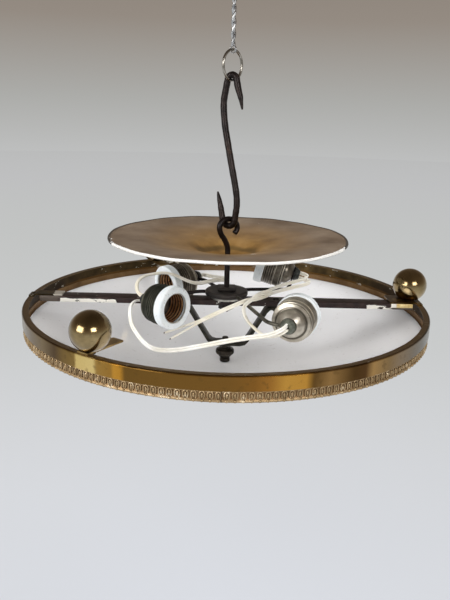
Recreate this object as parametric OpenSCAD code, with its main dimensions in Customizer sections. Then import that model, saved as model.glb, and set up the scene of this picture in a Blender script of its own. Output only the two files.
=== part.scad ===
// Ceiling lamp: a brass ring with a shallow glass bowl, four lampholders on an iron cross bar,
// a loose reflector dish, and a hooked stem hung from an S-hook, a steel ring and a twisted wire.
// Millimetres, +Z up, origin at the centre of the wire's hanging eye.
// Heights inside the lamp are measured from the brass ring's top edge.

/* [Suspension] */
// Drop from the centre of the hanging eye to the top edge of the brass ring
drop = 285; // [280:1:290]
// Radius of the hanging wire
wire_r = 1.4; // [1.2:0.1:1.5]
// Radius of the circle that the wire's two twisted strands fill
twist_r = 2.3; // [2.1:0.1:2.4]
// Radius of the top eye's centre line
top_eye_r = 7; // [6:0.5:9]
// Outer radius of the steel hanging ring
link_r = 14; // [13.5:0.1:14.2]
// Radius of the hanging ring's wire
link_wire_r = 1.25; // [1.1:0.05:1.3]
// Radius of the S-hook's bar
hook_bar_r = 3.1; // [2.8:0.1:3.2]
// Direction that the S-hook's plane faces along, in degrees from +X
hook_turn = -35; // [-45:5:-25]
// Direction that the stem's loop faces along, in degrees from +X
loop_turn = 35; // [25:5:45]
// Direction that the hanging ring's plane lies along, in degrees from +X
link_turn = 50; // [40:5:60]
// Radius of the stem's rod
stem_r = 2.6; // [2.4:0.1:2.7]

/* [Brass ring] */
// Outer radius of the brass ring
ring_r = 190; // [186:1:194]
// Height of the ring's smooth upper band
band_h = 12; // [11:0.5:13]
// Height of the ornamented gallery under it
gallery_h = 9.4; // [8.5:0.1:10]
// Thickness of the brass sheet
sheet_t = 1.5; // [1.2:0.1:1.8]
// Width of the ring's top lip
lip_w = 6; // [5:0.5:7]

/* [Glass] */
// Depth of the bowl's inner face below the ring's top edge
glass_low = 64; // [63.8:0.1:65]
// Thickness of the glass
glass_t = 3.5; // [3:0.5:4]

/* [Cross bar and hub] */
// Width of the cross bar
bar_w = 16; // [14:1:16]
// Thickness of the cross bar
bar_t = 5.5; // [5:0.5:6]
// Height of the bar's top face
bar_top = 1.5; // [1.5:0.1:1.6]
// Radius of the hub disc
hub_r = 20.5; // [20:0.5:22]
// Thickness of the hub disc
hub_t = 6; // [5.5:0.5:7]
// Width of the square nut on the hub
hub_nut_w = 17; // [14:1:18]

/* [Balls] */
// Radius of a ball knob
ball_r = 16.2; // [15:0.1:17]
// Height of a ball's centre
ball_z = 15.9; // [15:0.1:16.5]
// Distance of the balls' centres in from the ring's outer edge
ball_inset = 10.4; // [10:0.1:12]
// Directions of the left and the back ball, in degrees from +X
tab_turns = [235, 118]; // [100:1:250]
// Sideways place of the right ball, off the bar's centre line
right_ball_y = 11.3; // [11.3:0.1:12]

/* [Reflector] */
// Radius of the reflector's rim
dish_r = 112; // [108:1:114]
// Height of the rim's top
dish_top = 62.8; // [62:0.1:63.5]
// Height of the dish's seat on its ferrule
dish_seat = 39.5; // [39:0.1:40]
// Thickness of the dish's sheet
dish_t = 1.2; // [1:0.1:1.5]

/* [Lampholders] */
// Inner radius of the porcelain shade ring
shade_in_r = 14.25; // [14:0.05:14.5]
// Outer radius of the porcelain shade ring
shade_out_r = 20; // [19:0.5:20.5]
// Length of the porcelain shade ring
shade_l = 8.5; // [8:0.5:9]
// Radius of the round arms
arm_r = 1.7; // [1.5:0.1:1.8]

/* [Leads] */
// Radius of the circle that a lead's two cores turn in
lead_r = 2.1; // [1.8:0.1:2.2]

/* [Thumb screw] */
// Radius of the thumb screw's knob
knob_r = 9; // [8:0.5:10]
// Radius of the thumb screw's stud
stud_r = 3; // [2.5:0.1:3]

/* [Hidden] */
$fn = 64;
fit = 0.05;
gap = 0.4;
corner = ["front_left", "back_left", "back_right", "front_right"];
// Centre of each lampholder's mouth, its direction and its tilt
holder_place = [[-46, -44, 3], [-62, 38, 2], [33, 51, 26.4], [64.6, -53, 3.5]];
holder_turn = [-42, 220, 168, 70];
holder_tilt = [0, -5, 15, 0];

// Colours as the photograph shows them
iron = [0.13, 0.10, 0.09];
brass = [0.62, 0.47, 0.28];
old_brass = [0.42, 0.33, 0.22];
steel = [0.55, 0.55, 0.56];
opal = [0.84, 0.85, 0.86];
porcelain = [0.88, 0.90, 0.91];
holder_metal = [0.42, 0.40, 0.34];
copper = [0.45, 0.29, 0.22];
enamel = [0.50, 0.45, 0.38];
flex = [0.86, 0.84, 0.76];

// Heights of the hub's stack and of the pieces under it
washer_t = 2.6;
washer_r = 14.6;
hub_low = bar_top + washer_t;
hub_nut_h = 3;
bar_low = bar_top - bar_t;
bar_nut_h = 5.5;
bar_nut_r = 7.5;
bar_left_x = -ring_r + 12;
bar_right_x = ring_r - 11;
arm_z = hub_low + hub_t / 2;
arm_hold = 8;
arm_straight = 4;
arm_bend_r = 18;
arm_end_r = 9.2;

// Suspension, worked out from the contacts between its links
eye_wire_r = 1;
eye_r = 3;
link_height = 214.25;
link_c = link_height - drop;
link_mid_r = link_r - link_wire_r;
link_low_z = link_c - link_mid_r;
eye_z = link_c + link_mid_r - link_wire_r - gap - eye_wire_r + eye_r;
hook_low_height = 71.9;

// Lampholder, measured back from its mouth
shell_r = 16.5;
shell_wall = 1;
shell_end = 22;
shell_band_r = 18.7;
cap_start = 20;
cap_band_r = 18;
cap_band_end = 26;
cap_rim_r = 17;
cap_rim_end = 28.2;
cap_end = 37;
cap_neck_r = 7;
eyelet_t = 1.5;
eyelet_r = 7.2;
bush_start = cap_end + eyelet_t;
bush_end = 44;
bush_r = 6.5;
bush_neck_r = 3.9;
core_start = 9;
thread_start = 1.5;
core_r = 15.3;
core_in_r = 13.8;
core_end = 22.8;
core_floor = 24.4;
core_floor_t = 2.8;
thread_out_r = 13.65;
thread_in_r = 13.25;
thread_end = 22;
contact_t = 2;

// Glass stay and its screw
stay_t = 3;
stay_w = 16;
stay_top_z = bar_low - stay_t / 2;
foot_z = -43.8;
stay_x = [-45, 48];
stay_path = [[-52, stay_top_z], [-37, stay_top_z], [-14, foot_z], [19, foot_z], [41, stay_top_z],
    [55, stay_top_z]];
screw_r = 2;
knob_top = -49;
knob_low = -58;
pad_low = gap - glass_low;
pad_r = 5;
pad_h = 4.6;
nose_r = 2;

// Clips, tabs and the rivets that hold them
strap_t = 1.5;
tab_in_r = ring_r - 40;
tab_out_r = ring_r - 1.4;
tab_w = 11;
ball_reach = ring_r - ball_inset;
clip_in_x = ring_r - 33;
clip_bend_x = ball_reach + 2.4;
rivet_r = 1;
rivet_head_r = 1.6;
rivet_head_h = 0.4;
rivet_reach = ring_r - 3.2;
rivet_apart = 4;

// Leads: points of each route, in the lamp, from end to end
supply_route = [[72.1, 42.7, 13.1], [78.6, 41.3, 11.2], [83.8, 40.2, 9.6], [84, 37.4, 8.4], [76.6, 33.6, 6.8],
    [64, 27, 5.4], [46, 9, 5.4], [37, -8, 6.4], [28, -25, 8.6], [17.6, -39, 10.6], [5, -46, 7], [-8, -47, 1],
    [-20, -43, -6.6], [-35, -36, -16.4], [-50, -27, -24.6]];
link_c_d_route = [[73.3, 42.5, 17.9], [79.6, 41.1, 16.4], [82.2, 38.6, 14.8], [76.6, 35.6, 12.4], [64, 29.6, 10.2],
    [47.6, 10, 10.2], [38.6, -8, 11], [31, -24, 13.2], [23.6, -40, 13], [15.4, -49, 7.4], [17.6, -58, -0.6],
    [26, -77, -4.6], [33, -91, -5], [40, -98.5, -2.2], [45.5, -99, 0.2], [50.1, -92.8, 1.4]];
link_d_a_route = [[50.1, -92.8, 5.9], [46.5, -100, 5.2], [40, -104, 3], [32, -105, 0.6], [19, -106, -1],
    [0, -106, -4.6], [-22, -102, -11], [-43, -94, -18], [-61, -82, -22], [-73, -67, -20.8],
    [-84, -50, -13.4], [-88, -38, -6.6], [-89, -26, -1.4], [-86.5, -16, 0.6], [-82, -12.4, 0.6], [-77.2, -15.9, 0.5]];
link_a_b_route = [[-77.2, -15.9, 5.5], [-82, -12, 6.4], [-85, -8.4, 9.8], [-85.5, -4, 15], [-82, 2, 19],
    [-74, 8, 21], [-60, 13, 21.5], [-49, 14, 18.5], [-36, 14, 13], [-27, 17, 11], [-19, 22, 11.4],
    [-10, 26.5, 12], [-2, 29, 11.8], [1, 33, 11.6], [-4, 37, 11.8], [-12, 39.5, 12], [-18, 43.5, 12],
    [-20, 50, 10.8], [-18.5, 59, 8.4], [-20, 66.5, 6.6], [-24, 69.3, 6.2], [-29.6, 65.2, 5.7]];
lead_sides = 8;
lead_steps = 4;

// Unit vector
function unit(v) = v / norm(v);

// Point at share t of a smooth curve between b and c
function curve_point(a, b, c, d, t) =
    0.5 * (2 * b + (c - a) * t + (2 * a - 5 * b + 4 * c - d) * t * t + (3 * b - a - 3 * c + d) * t * t * t);

// Smooth curve through all the points of p, with this many steps between two of them
function curve(p, steps) = concat(
    [for (i = [0 : len(p) - 2], k = [0 : steps - 1])
        curve_point(p[max(i - 1, 0)], p[i], p[i + 1], p[min(i + 2, len(p) - 1)], k / steps)],
    [p[len(p) - 1]]);

// The bent line p with each corner rounded over, from this far before it to this far behind it
function rounded(p, reach) = concat([p[0]],
    [for (i = [1 : len(p) - 2], t = [0 : 0.2 : 1])
        let (before = p[i] + unit(p[i - 1] - p[i]) * reach, behind = p[i] + unit(p[i + 1] - p[i]) * reach)
        (1 - t) * (1 - t) * before + 2 * t * (1 - t) * p[i] + t * t * behind],
    [p[len(p) - 1]]);

// Direction of travel at each point of p
function headings(p) = [for (i = [0 : len(p) - 1]) unit(p[min(i + 1, len(p) - 1)] - p[max(i - 1, 0)])];

// Sideways direction at each point, carried along without twist
function sideways(t, i, s) =
    i == len(t) ? [] : let (n = unit(s - t[i] * (s * t[i]))) concat([n], sideways(t, i + 1, n));

// Points of p turned about the Z axis and set in the lamp
function upright(p, turn) = [for (q = p) [q[0] * cos(turn), q[0] * sin(turn), q[1]]];

// Direction in which a lampholder's mouth opens
function mouth(i) = [cos(holder_turn[i]) * cos(holder_tilt[i]), sin(holder_turn[i]) * cos(holder_tilt[i]),
    sin(holder_tilt[i])];

// Downward direction in the plane of a lampholder's mouth
function below(i) = [cos(holder_turn[i]) * sin(holder_tilt[i]), sin(holder_turn[i]) * sin(holder_tilt[i]),
    -cos(holder_tilt[i])];

// Centre of the eyelet on a lampholder
function eyelet_place(i) = holder_place[i] - mouth(i) * (cap_end + eyelet_t / 2);

// Glass bowl: part of a sphere through its rim and its lowest point, resting on a ledge in the ring
ledge_top = -20;
ledge_in_r = ring_r - 7;
glass_out_r = ring_r - 3.3;
glass_rim_r = glass_out_r - 2.1;
glass_rim_z = ledge_top + 2.93;
glass_depth = glass_low + glass_rim_z;
glass_sphere_r = (glass_rim_r * glass_rim_r + glass_depth * glass_depth) / (2 * glass_depth);

// Height of the sphere of radius r, with the glass's centre, at distance x from the axis
function glass_z(r, x) = glass_sphere_r - glass_low - sqrt(r * r - x * x);

module in_lamp() translate([0, 0, -drop]) children();

module at_holder(i) translate(holder_place[i]) rotate([0, 90 - holder_tilt[i], holder_turn[i]]) children();

// Round tube along p, with one radius for each point
module tube(p, radii, sides, first_side)
{
    t = headings(p);
    s = sideways(t, 0, first_side);
    n = sides;
    rings = [for (i = [0 : len(p) - 1], k = [0 : n - 1])
        p[i] + radii[i] * (cos(360 * k / n) * s[i] + sin(360 * k / n) * cross(t[i], s[i]))];
    walls = [for (i = [0 : len(p) - 2], k = [0 : n - 1], half = [0, 1])
        let (a = i * n + k, b = i * n + (k + 1) % n)
        half == 0 ? [a, a + n, b + n] : [a, b + n, b]];
    last = (len(p) - 1) * n;
    start_cap = [for (k = [0 : n - 1]) k];
    end_cap = [for (k = [0 : n - 1]) last + n - 1 - k];
    polyhedron(points = rings, faces = concat([start_cap], walls, [end_cap]));
}

// Points beside the path p at distance d, with a mitre at each bend
function beside(p, d) =
    let (last = len(p) - 1,
        n = [for (i = [0 : last - 1]) let (v = unit(p[i + 1] - p[i])) [-v[1], v[0]]])
    [for (i = [0 : last]) let (a = n[max(i - 1, 0)], b = n[min(i, last - 1)]) p[i] + (a + b) * d / (1 + a * b)];

// Flat strap of width w and thickness t, bent along p in the XZ plane
module strap(p, w, t)
{
    low = beside(p, -t / 2);
    translate([0, w / 2, 0]) rotate([90, 0, 0]) linear_extrude(w)
        polygon(concat(beside(p, t / 2), [for (i = [len(p) - 1 : -1 : 0]) low[i]]));
}

// Ring of round wire whose axis lies along +Y
module upright_ring(mid_r, r) rotate([90, 0, 0]) rotate_extrude() translate([mid_r, 0]) circle(r, $fn = 32);

module lead(route)
{
    p = curve(route, lead_steps);
    color(flex) in_lamp() tube(p, [for (q = p) lead_r], lead_sides, [0, 0, 1]);
}

module wire_hanger() color(steel)
{
    upright_ring(top_eye_r, wire_r);
    translate([0, 0, eye_z + eye_r]) cylinder(h = -top_eye_r - eye_z - eye_r, r = twist_r);
    translate([0, 0, eye_z]) rotate([0, 0, link_turn - 90]) upright_ring(eye_r, eye_wire_r);
}

module hanging_ring() color(steel)
    translate([0, 0, link_c]) rotate([0, 0, link_turn]) upright_ring(link_mid_r, link_wire_r);

module s_hook() color(iron)
{
    top_bend_r = 5;
    top_z = link_low_z + drop - 0.3;
    top_bend = [for (a = [0 : 30 : 180]) [top_bend_r * cos(a), top_z + top_bend_r * sin(a)]];
    low_bend_r = 7.1;
    low_z = hook_low_height + low_bend_r;
    low_bend = [for (a = [0 : -30 : -180]) [low_bend_r * cos(a), low_z + low_bend_r * sin(a)]];
    side = concat(
        [[11.6, 177], [9.4, 187], [6.4, 195.5]], top_bend,
        [[-6.8, 193], [-8.4, 184], [-8.1, 174], [-6.2, 161], [-3.4, 149], [-0.5, 137], [2.5, 125], [5.6, 113],
            [8.2, 101], [8.8, 92], [8, 85]],
        low_bend, [[-8.8, 87], [-11, 95.5], [-13, 102.7]]);
    tip = [0.7, 1.7, 2.6];
    p = upright(side, hook_turn);
    middle = [for (i = [1 : len(p) - 6]) hook_bar_r];
    radii = concat(tip, middle, [2.6, 1.7, 0.7]);
    steps = 2;
    smooth = curve(p, steps);
    smooth_radii = [for (i = [0 : len(smooth) - 1])
        let (k = floor(i / steps), next = min(k + 1, len(radii) - 1), t = i / steps - k)
        radii[k] * (1 - t) + radii[next] * t];
    in_lamp() tube(smooth, smooth_radii, 16, [sin(hook_turn), -cos(hook_turn), 0]);
}

module stem() color(iron) in_lamp()
{
    low = -12;
    bend_z = 49;
    root_r = stem_r - 0.3;
    translate([0, 0, low]) cylinder(h = bend_z - low, r = stem_r);
    side = [[0, bend_z - 3], [0, bend_z], [-0.6, 52.5], [-3.6, 58.6], [-7.8, 64.2], [-9.9, 70], [-9, 74.5],
        [-5.6, 77.5], [0, 78.3], [5.4, 77], [9.4, 73], [10.3, 68], [7.2, 63.8]];
    steps = 4;
    p = curve(upright(side, loop_turn), steps);
    radii = [for (i = [0 : len(p) - 1]) i <= steps ? root_r : stem_r];
    tube(p, radii, 16, [sin(loop_turn), -cos(loop_turn), 0]);
}

module hub_nut() color(iron) in_lamp() difference()
{
    translate([-hub_nut_w / 2, -hub_nut_w / 2, hub_low + hub_t]) cube([hub_nut_w, hub_nut_w, hub_nut_h]);
    translate([0, 0, hub_low]) cylinder(h = hub_t + 2 * hub_nut_h, r = stem_r + fit);
}

// Directions in which the arms leave the hub, and the side from which each meets its lampholder, as a
// turn about the lampholder's axis
hub_turns = [175, 118, 30, -60];
arm_sides = [90, 90, 0, 90];

// An arm's way from the hub to its eyelet
function arm_path(i) =
    let (out = [cos(hub_turns[i]), sin(hub_turns[i]), 0],
        from_below = arm_sides[i] == 0,
        along = from_below ? below(i) : [-sin(holder_turn[i]), cos(holder_turn[i]), 0],
        lift = [0, 0, from_below ? 0 : 0.8],
        start = [0, 0, arm_z],
        eyelet = eyelet_place(i))
    [start + out * (hub_r - arm_hold), start + out * (hub_r + arm_straight),
        eyelet + along * arm_bend_r + lift, eyelet + along * arm_end_r];

module hub_disc() color(iron) in_lamp() difference()
{
    translate([0, 0, hub_low]) cylinder(h = hub_t, r = hub_r);
    translate([0, 0, hub_low - 1]) cylinder(h = hub_t + 2, r = stem_r + fit);
    for (i = [0 : 3])
        translate([0, 0, arm_z]) rotate([0, 90, hub_turns[i]])
            translate([0, 0, hub_r - arm_hold]) cylinder(h = arm_hold + 2, r = arm_r + fit);
}

module hub_washer() color(steel) in_lamp() difference()
{
    translate([0, 0, bar_top]) cylinder(h = washer_t, r = washer_r);
    translate([0, 0, bar_top - 1]) cylinder(h = washer_t + 2, r = stem_r + fit);
}

module cross_bar() color(iron) in_lamp() difference()
{
    translate([bar_left_x, -bar_w / 2, bar_low]) cube([bar_right_x - bar_left_x, bar_w, bar_t]);
    translate([0, 0, bar_low - 1]) cylinder(h = bar_t + 2, r = stem_r + fit);
    for (x = stay_x) translate([x, 0, bar_low - 1]) cylinder(h = bar_t + 2, r = screw_r + fit);
}

module bar_nut() color(iron) in_lamp() difference()
{
    translate([0, 0, bar_low - bar_nut_h]) cylinder(h = bar_nut_h, r = bar_nut_r, $fn = 6);
    translate([0, 0, bar_low - bar_nut_h - 1]) cylinder(h = bar_nut_h + 2, r = stem_r + fit);
}

// Strap from the top of the bar's right end down to the ring's lip
module clip(out_x, w, y)
{
    high = bar_top + strap_t;
    translate([0, y + w / 2, 0]) rotate([90, 0, 0]) linear_extrude(w) polygon([
        [clip_in_x, bar_top], [clip_in_x, high], [clip_bend_x + 0.6, high], [clip_bend_x + 2.4, strap_t],
        [out_x, strap_t], [out_x, 0], [clip_bend_x + 1.8, 0], [clip_bend_x, bar_top]]);
}

module rivet_holes() for (q = rivet_places)
    translate([q[0], q[1], -2 * sheet_t]) cylinder(h = 6 * sheet_t, r = rivet_r + fit);

module bar_clip_left() color(old_brass) in_lamp() difference()
{
    mirror([1, 0, 0]) clip(ring_r - 1, 12, 0);
    rivet_holes();
}

module bar_clip_right() color(brass) in_lamp() difference()
{
    clip(tab_out_r, 25, 5.5);
    rivet_holes();
    translate(ball_place(0)) translate([0, 0, -ball_r]) cylinder(h = ball_r, r = screw_r + fit);
}

// Point on the rivets' circle at a distance s beside the direction a
function rivet_place(a, s) = let (r = sqrt(rivet_reach * rivet_reach - s * s))
    [r * cos(a) - s * sin(a), r * sin(a) + s * cos(a)];

// Centres of the rivets that hold the straps to the ring's lip: those under the balls, then the clips'
tab_rivets = [for (a = tab_turns, s = [-1, 1]) rivet_place(a, s * rivet_apart)];
clip_rivets = [rivet_place(180, -rivet_apart), rivet_place(180, rivet_apart), rivet_place(0, -rivet_apart),
    rivet_place(0, 4 * rivet_apart)];
rivet_places = concat(tab_rivets, clip_rivets);

// The rivets under the balls are filed flush on top
module ring_rivets() color(old_brass) in_lamp()
{
    for (q = rivet_places) translate([q[0], q[1], -sheet_t - rivet_head_h])
    {
        cylinder(h = rivet_head_h, r = rivet_head_r);
        cylinder(h = rivet_head_h + sheet_t + strap_t, r = rivet_r);
    }
    for (q = clip_rivets) translate([q[0], q[1], strap_t]) cylinder(h = rivet_head_h, r = rivet_head_r);
}

module ring_band() color(brass) in_lamp() difference()
{
    edge = 1.2;
    rotate_extrude($fn = 128) polygon([
        [ring_r - lip_w, -sheet_t], [ring_r - lip_w, 0], [ring_r - edge, 0],
        for (a = [60 : -30 : 0]) [ring_r - edge + edge * cos(a), -edge + edge * sin(a)],
        [ring_r, -band_h], [ring_r - sheet_t, -band_h], [ring_r - sheet_t, -sheet_t]]);
    rivet_holes();
}

module gallery_band() color(brass) in_lamp()
{
    top_r = ring_r - 0.6;
    low_r = ring_r - 2.6;
    low_z = -band_h - gallery_h;
    rotate_extrude($fn = 128) polygon([
        [top_r - sheet_t, -band_h], [top_r, -band_h], [low_r + 1.2, low_z + 2.6], [low_r + 1.2, low_z + 1],
        [low_r, low_z], [low_r - 0.8, low_z], [low_r - 0.5, low_z + 2.6], [top_r - sheet_t, low_z + 5]]);
}

module glass_ledge() color(old_brass) in_lamp() difference()
{
    translate([0, 0, -band_h - gallery_h]) cylinder(h = gallery_h + band_h + ledge_top, r = ring_r - 3.5, $fn = 128);
    translate([0, 0, -band_h - gallery_h - 1]) cylinder(h = gallery_h, r = ledge_in_r, $fn = 128);
}

module glass_bowl() color(opal, 0.9) in_lamp()
{
    steps = 24;
    foot_in_r = ledge_in_r - 0.5;
    outer_r = glass_sphere_r + glass_t;
    inner = [for (k = [0 : steps]) let (x = glass_rim_r * k / steps) [x, glass_z(glass_sphere_r, x)]];
    outer = [for (k = [steps : -1 : 0]) let (x = foot_in_r * k / steps) [x, glass_z(outer_r, x)]];
    rotate_extrude($fn = 128) polygon(concat(
        inner, [[glass_out_r, glass_rim_z], [glass_out_r, ledge_top], [foot_in_r, ledge_top]], outer));
}

// Places of the three ball knobs: right, left and back
function ball_place(i) =
    i == 0 ? [sqrt(ball_reach * ball_reach - right_ball_y * right_ball_y), right_ball_y, ball_z]
        : [ball_reach * cos(tab_turns[i - 1]), ball_reach * sin(tab_turns[i - 1]), ball_z];

// Height of the plate that each ball stands on
function ball_seat(i) = i == 0 ? bar_top + strap_t : strap_t;

module ball(i) color(brass) in_lamp() difference()
{
    translate(ball_place(i)) sphere(ball_r);
    translate(ball_place(i)) translate([0, 0, -2 * ball_r])
        cylinder(h = 2 * ball_r - ball_z + ball_seat(i), r = ball_r);
    translate(ball_place(i)) translate([0, 0, -ball_r]) cylinder(h = ball_r, r = screw_r + fit);
}

module ball_tab(i) color(old_brass) in_lamp() difference()
{
    rotate([0, 0, tab_turns[i]]) translate([tab_in_r, -tab_w / 2, 0])
        cube([tab_out_r - tab_in_r, tab_w, strap_t]);
    translate(ball_place(i + 1)) translate([0, 0, -ball_z - 1]) cylinder(h = 4, r = screw_r + fit);
    rivet_holes();
}

module ball_screws() color(iron) in_lamp() for (i = [0 : 2])
{
    p = ball_place(i);
    seat = ball_seat(i) - strap_t;
    translate([p[0], p[1], seat - 2]) cylinder(h = 2, r = i == 0 ? 2.7 : 3.5);
    translate([p[0], p[1], seat]) cylinder(h = 12, r = screw_r);
}

module glass_stay() color(iron) in_lamp() difference()
{
    strap(stay_path, stay_w, stay_t);
    for (x = stay_x) translate([x, 0, stay_top_z - stay_t]) cylinder(h = 2 * stay_t, r = screw_r + fit);
    translate([0, 0, foot_z - stay_t]) cylinder(h = 2 * stay_t, r = stud_r + fit);
}

module stay_screws() color(iron) in_lamp() for (x = stay_x)
{
    translate([x, 0, bar_top]) cylinder(h = 1.4, r = 3.2);
    translate([x, 0, bar_low - stay_t - 4]) cylinder(h = bar_t + stay_t + 4, r = screw_r);
    translate([x, 0, bar_low - stay_t - 3]) cylinder(h = 3, r = 3.8, $fn = 6);
}

module reflector_collar() color(iron) in_lamp() difference()
{
    collar_low = 35;
    translate([0, 0, collar_low]) cylinder(h = 3, r = 6);
    translate([0, 0, collar_low - 1]) cylinder(h = 5, r = stem_r + fit);
}

ferrule_neck_r = 5;

module reflector_ferrule() color(old_brass) in_lamp() difference()
{
    ferrule_low = 38;
    union() {
        translate([0, 0, ferrule_low]) cylinder(h = dish_seat - ferrule_low, r = 10);
        translate([0, 0, ferrule_low]) cylinder(h = 4.4, r = ferrule_neck_r);
    }
    translate([0, 0, ferrule_low - 1]) cylinder(h = 8, r = stem_r + fit);
}

module reflector() color(enamel) in_lamp()
{
    crease_r = 37;
    crease_z = dish_seat + 12;
    bead_r = 1.3;
    rim_r = dish_r - bead_r;
    rim_z = dish_top - bead_r;
    rise = rim_z - crease_z - dish_t / 2;
    under = concat(
        [[ferrule_neck_r + fit, dish_seat], [12, dish_seat], [17, dish_seat + 1.2], [24, dish_seat + 4.6],
            [30, dish_seat + 8.2], [34, dish_seat + 10.6]],
        [for (k = [0 : 10]) [crease_r + (rim_r - crease_r) * k / 10, crease_z + rise * sin(9 * k)]]);
    over = [for (k = [len(under) - 1 : -1 : 0]) under[k] + [0, dish_t]];
    rotate_extrude($fn = 96) union() {
        polygon(concat(under, over));
        translate([rim_r, rim_z]) circle(bead_r, $fn = 24);
    }
}

module thumb_screw() color(old_brass) in_lamp()
{
    translate([0, 0, knob_top]) cylinder(h = 11, r = stud_r);
    translate([0, 0, knob_low]) cylinder(h = knob_top - knob_low, r = knob_r);
    translate([0, 0, knob_low - 0.8]) cylinder(h = 1, r = 6);
    translate([0, 0, pad_low + 1.6]) cylinder(h = knob_low - pad_low - 1.6, r = nose_r);
}

module thumb_pad() color(old_brass) in_lamp() difference()
{
    translate([0, 0, pad_low]) cylinder(h = pad_h - 0.2, r = pad_r);
    translate([0, 0, pad_low + 1.4]) cylinder(h = pad_h, r = nose_r + fit);
}

module arm(i) color(iron) in_lamp()
{
    p = rounded(arm_path(i), 6);
    flat_w = 1.6 * arm_r;
    tube(p, [for (q = p) arm_r], 12, [0, 0, 1]);
    at_holder(i) translate([0, 0, -bush_start]) difference() {
        union() {
            cylinder(h = eyelet_t, r = eyelet_r);
            rotate([0, 0, arm_sides[i]]) translate([0, -flat_w / 2, 0]) cube([arm_end_r + 1, flat_w, eyelet_t]);
        }
        translate([0, 0, -1]) cylinder(h = eyelet_t + 2, r = bush_neck_r + fit);
    }
}

module cap(i) color(holder_metal) in_lamp() at_holder(i) rotate_extrude() polygon([
    [shell_r + fit, -cap_start], [cap_band_r, -cap_start], [cap_band_r, -cap_band_end],
    [cap_rim_r - 0.4, -cap_band_end - 0.2], [cap_rim_r - 0.4, -cap_band_end - 0.8],
    [cap_rim_r, -cap_band_end - 1], [cap_rim_r, -cap_rim_end], [12.6, -29], [12.4, -31], [11.1, -33.4],
    [8.9, -35.4], [cap_neck_r, -cap_end], [bush_neck_r + fit, -cap_end], [bush_neck_r + fit, -cap_end + 1.2],
    [cap_neck_r - 0.6, -cap_end + 1.2], [7.9, -34.2], [9.9, -32.6], [11.2, -30.6], [11.3, -28],
    [13.9, -27.5], [14.5, -core_floor - 0.2], [shell_r + fit, -shell_end - 0.4]]);

module shell(i) color(holder_metal) in_lamp() at_holder(i) difference()
{
    union() {
        translate([0, 0, -cap_start]) cylinder(h = cap_start - shade_l, r = shell_band_r);
        translate([0, 0, -shell_end]) cylinder(h = shell_end - shade_l, r = shell_r);
    }
    translate([0, 0, -shell_end - 1]) cylinder(h = shell_end, r = shell_r - shell_wall);
}

module shade_ring(i) color(porcelain) in_lamp() at_holder(i) difference()
{
    translate([0, 0, -shade_l]) cylinder(h = shade_l, r = shade_out_r);
    translate([0, 0, -shade_l - 1]) cylinder(h = shade_l + 2, r = shade_in_r);
}

// Porcelain body inside a lampholder, with the threaded shell and the centre contact in it
module core(i) color(porcelain) in_lamp() at_holder(i) rotate_extrude() polygon([
    [core_in_r, -core_start], [core_r, -core_start], [core_r, -core_end], [14.3, -core_floor],
    [13.5, -core_floor - core_floor_t], [0, -core_floor - core_floor_t], [0, -core_floor],
    [core_in_r, -core_floor]]);

module screw_shells() color(copper) in_lamp() for (i = [0 : 3]) at_holder(i) difference()
{
    translate([0, 0, -thread_end]) cylinder(h = thread_end - thread_start, r = thread_out_r);
    translate([0, 0, -thread_end - 1]) cylinder(h = thread_end, r = thread_in_r);
}

module centre_contacts() color(brass) in_lamp() for (i = [0 : 3]) at_holder(i)
    translate([0, 0, -core_floor]) cylinder(h = contact_t, r = 3);

module holder_bushes() color(iron) in_lamp() for (i = [0 : 3]) at_holder(i)
{
    translate([0, 0, -bush_end]) cylinder(h = bush_end - bush_start, r = bush_r);
    translate([0, 0, -bush_start]) cylinder(h = eyelet_t + 1.2, r = bush_neck_r);
}

wire_hanger();
hanging_ring();
s_hook();
stem();
hub_nut();
hub_disc();
hub_washer();
cross_bar();
bar_nut();
bar_clip_left();
bar_clip_right();
ring_band();
gallery_band();
glass_ledge();
glass_bowl();
ball(0);  // ball_right
ball(1);  // ball_left
ball(2);  // ball_back
ball_tab(0);  // ball_tab_left
ball_tab(1);  // ball_tab_back
ball_screws();
ring_rivets();
glass_stay();
stay_screws();
reflector_collar();
reflector_ferrule();
reflector();
thumb_screw();
thumb_pad();
for (i = [0 : 3]) {
    arm(i);
    cap(i);
    shell(i);
    shade_ring(i);
    core(i);
}
screw_shells();
centre_contacts();
holder_bushes();
lead(supply_route);  // supply_lead
lead(link_c_d_route);  // link_c_d
lead(link_d_a_route);  // link_d_a
lead(link_a_b_route);  // link_a_b
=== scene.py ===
from math import atan2, cos, pi, radians, sin, sqrt

import bpy
from mathutils import Matrix, Vector


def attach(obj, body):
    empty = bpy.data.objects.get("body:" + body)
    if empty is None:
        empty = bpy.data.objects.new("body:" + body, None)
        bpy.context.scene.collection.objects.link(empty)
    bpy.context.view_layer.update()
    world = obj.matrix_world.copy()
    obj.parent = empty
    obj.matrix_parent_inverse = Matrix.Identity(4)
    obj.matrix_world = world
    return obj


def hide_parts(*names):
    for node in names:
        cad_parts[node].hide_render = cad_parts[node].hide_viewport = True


# Looks of a hanging ceiling lamp: brass ring with an opal glass bowl, four lampholders, a reflector
# dish, and a hooked stem on an S-hook, a steel ring and a twisted wire.
# Sizes here are in millimetres; inside the lamp, heights are measured from the brass ring's top edge.

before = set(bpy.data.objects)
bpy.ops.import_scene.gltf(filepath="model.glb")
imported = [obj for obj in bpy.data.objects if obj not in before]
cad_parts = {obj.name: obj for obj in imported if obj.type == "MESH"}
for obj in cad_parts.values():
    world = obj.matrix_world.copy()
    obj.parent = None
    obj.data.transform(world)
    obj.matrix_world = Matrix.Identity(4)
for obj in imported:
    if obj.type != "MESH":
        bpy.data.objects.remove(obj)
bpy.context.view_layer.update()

MM = 0.001
# Drop from the centre of the hanging eye, the frame's origin, to the brass ring's top edge
DROP = 285
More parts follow.
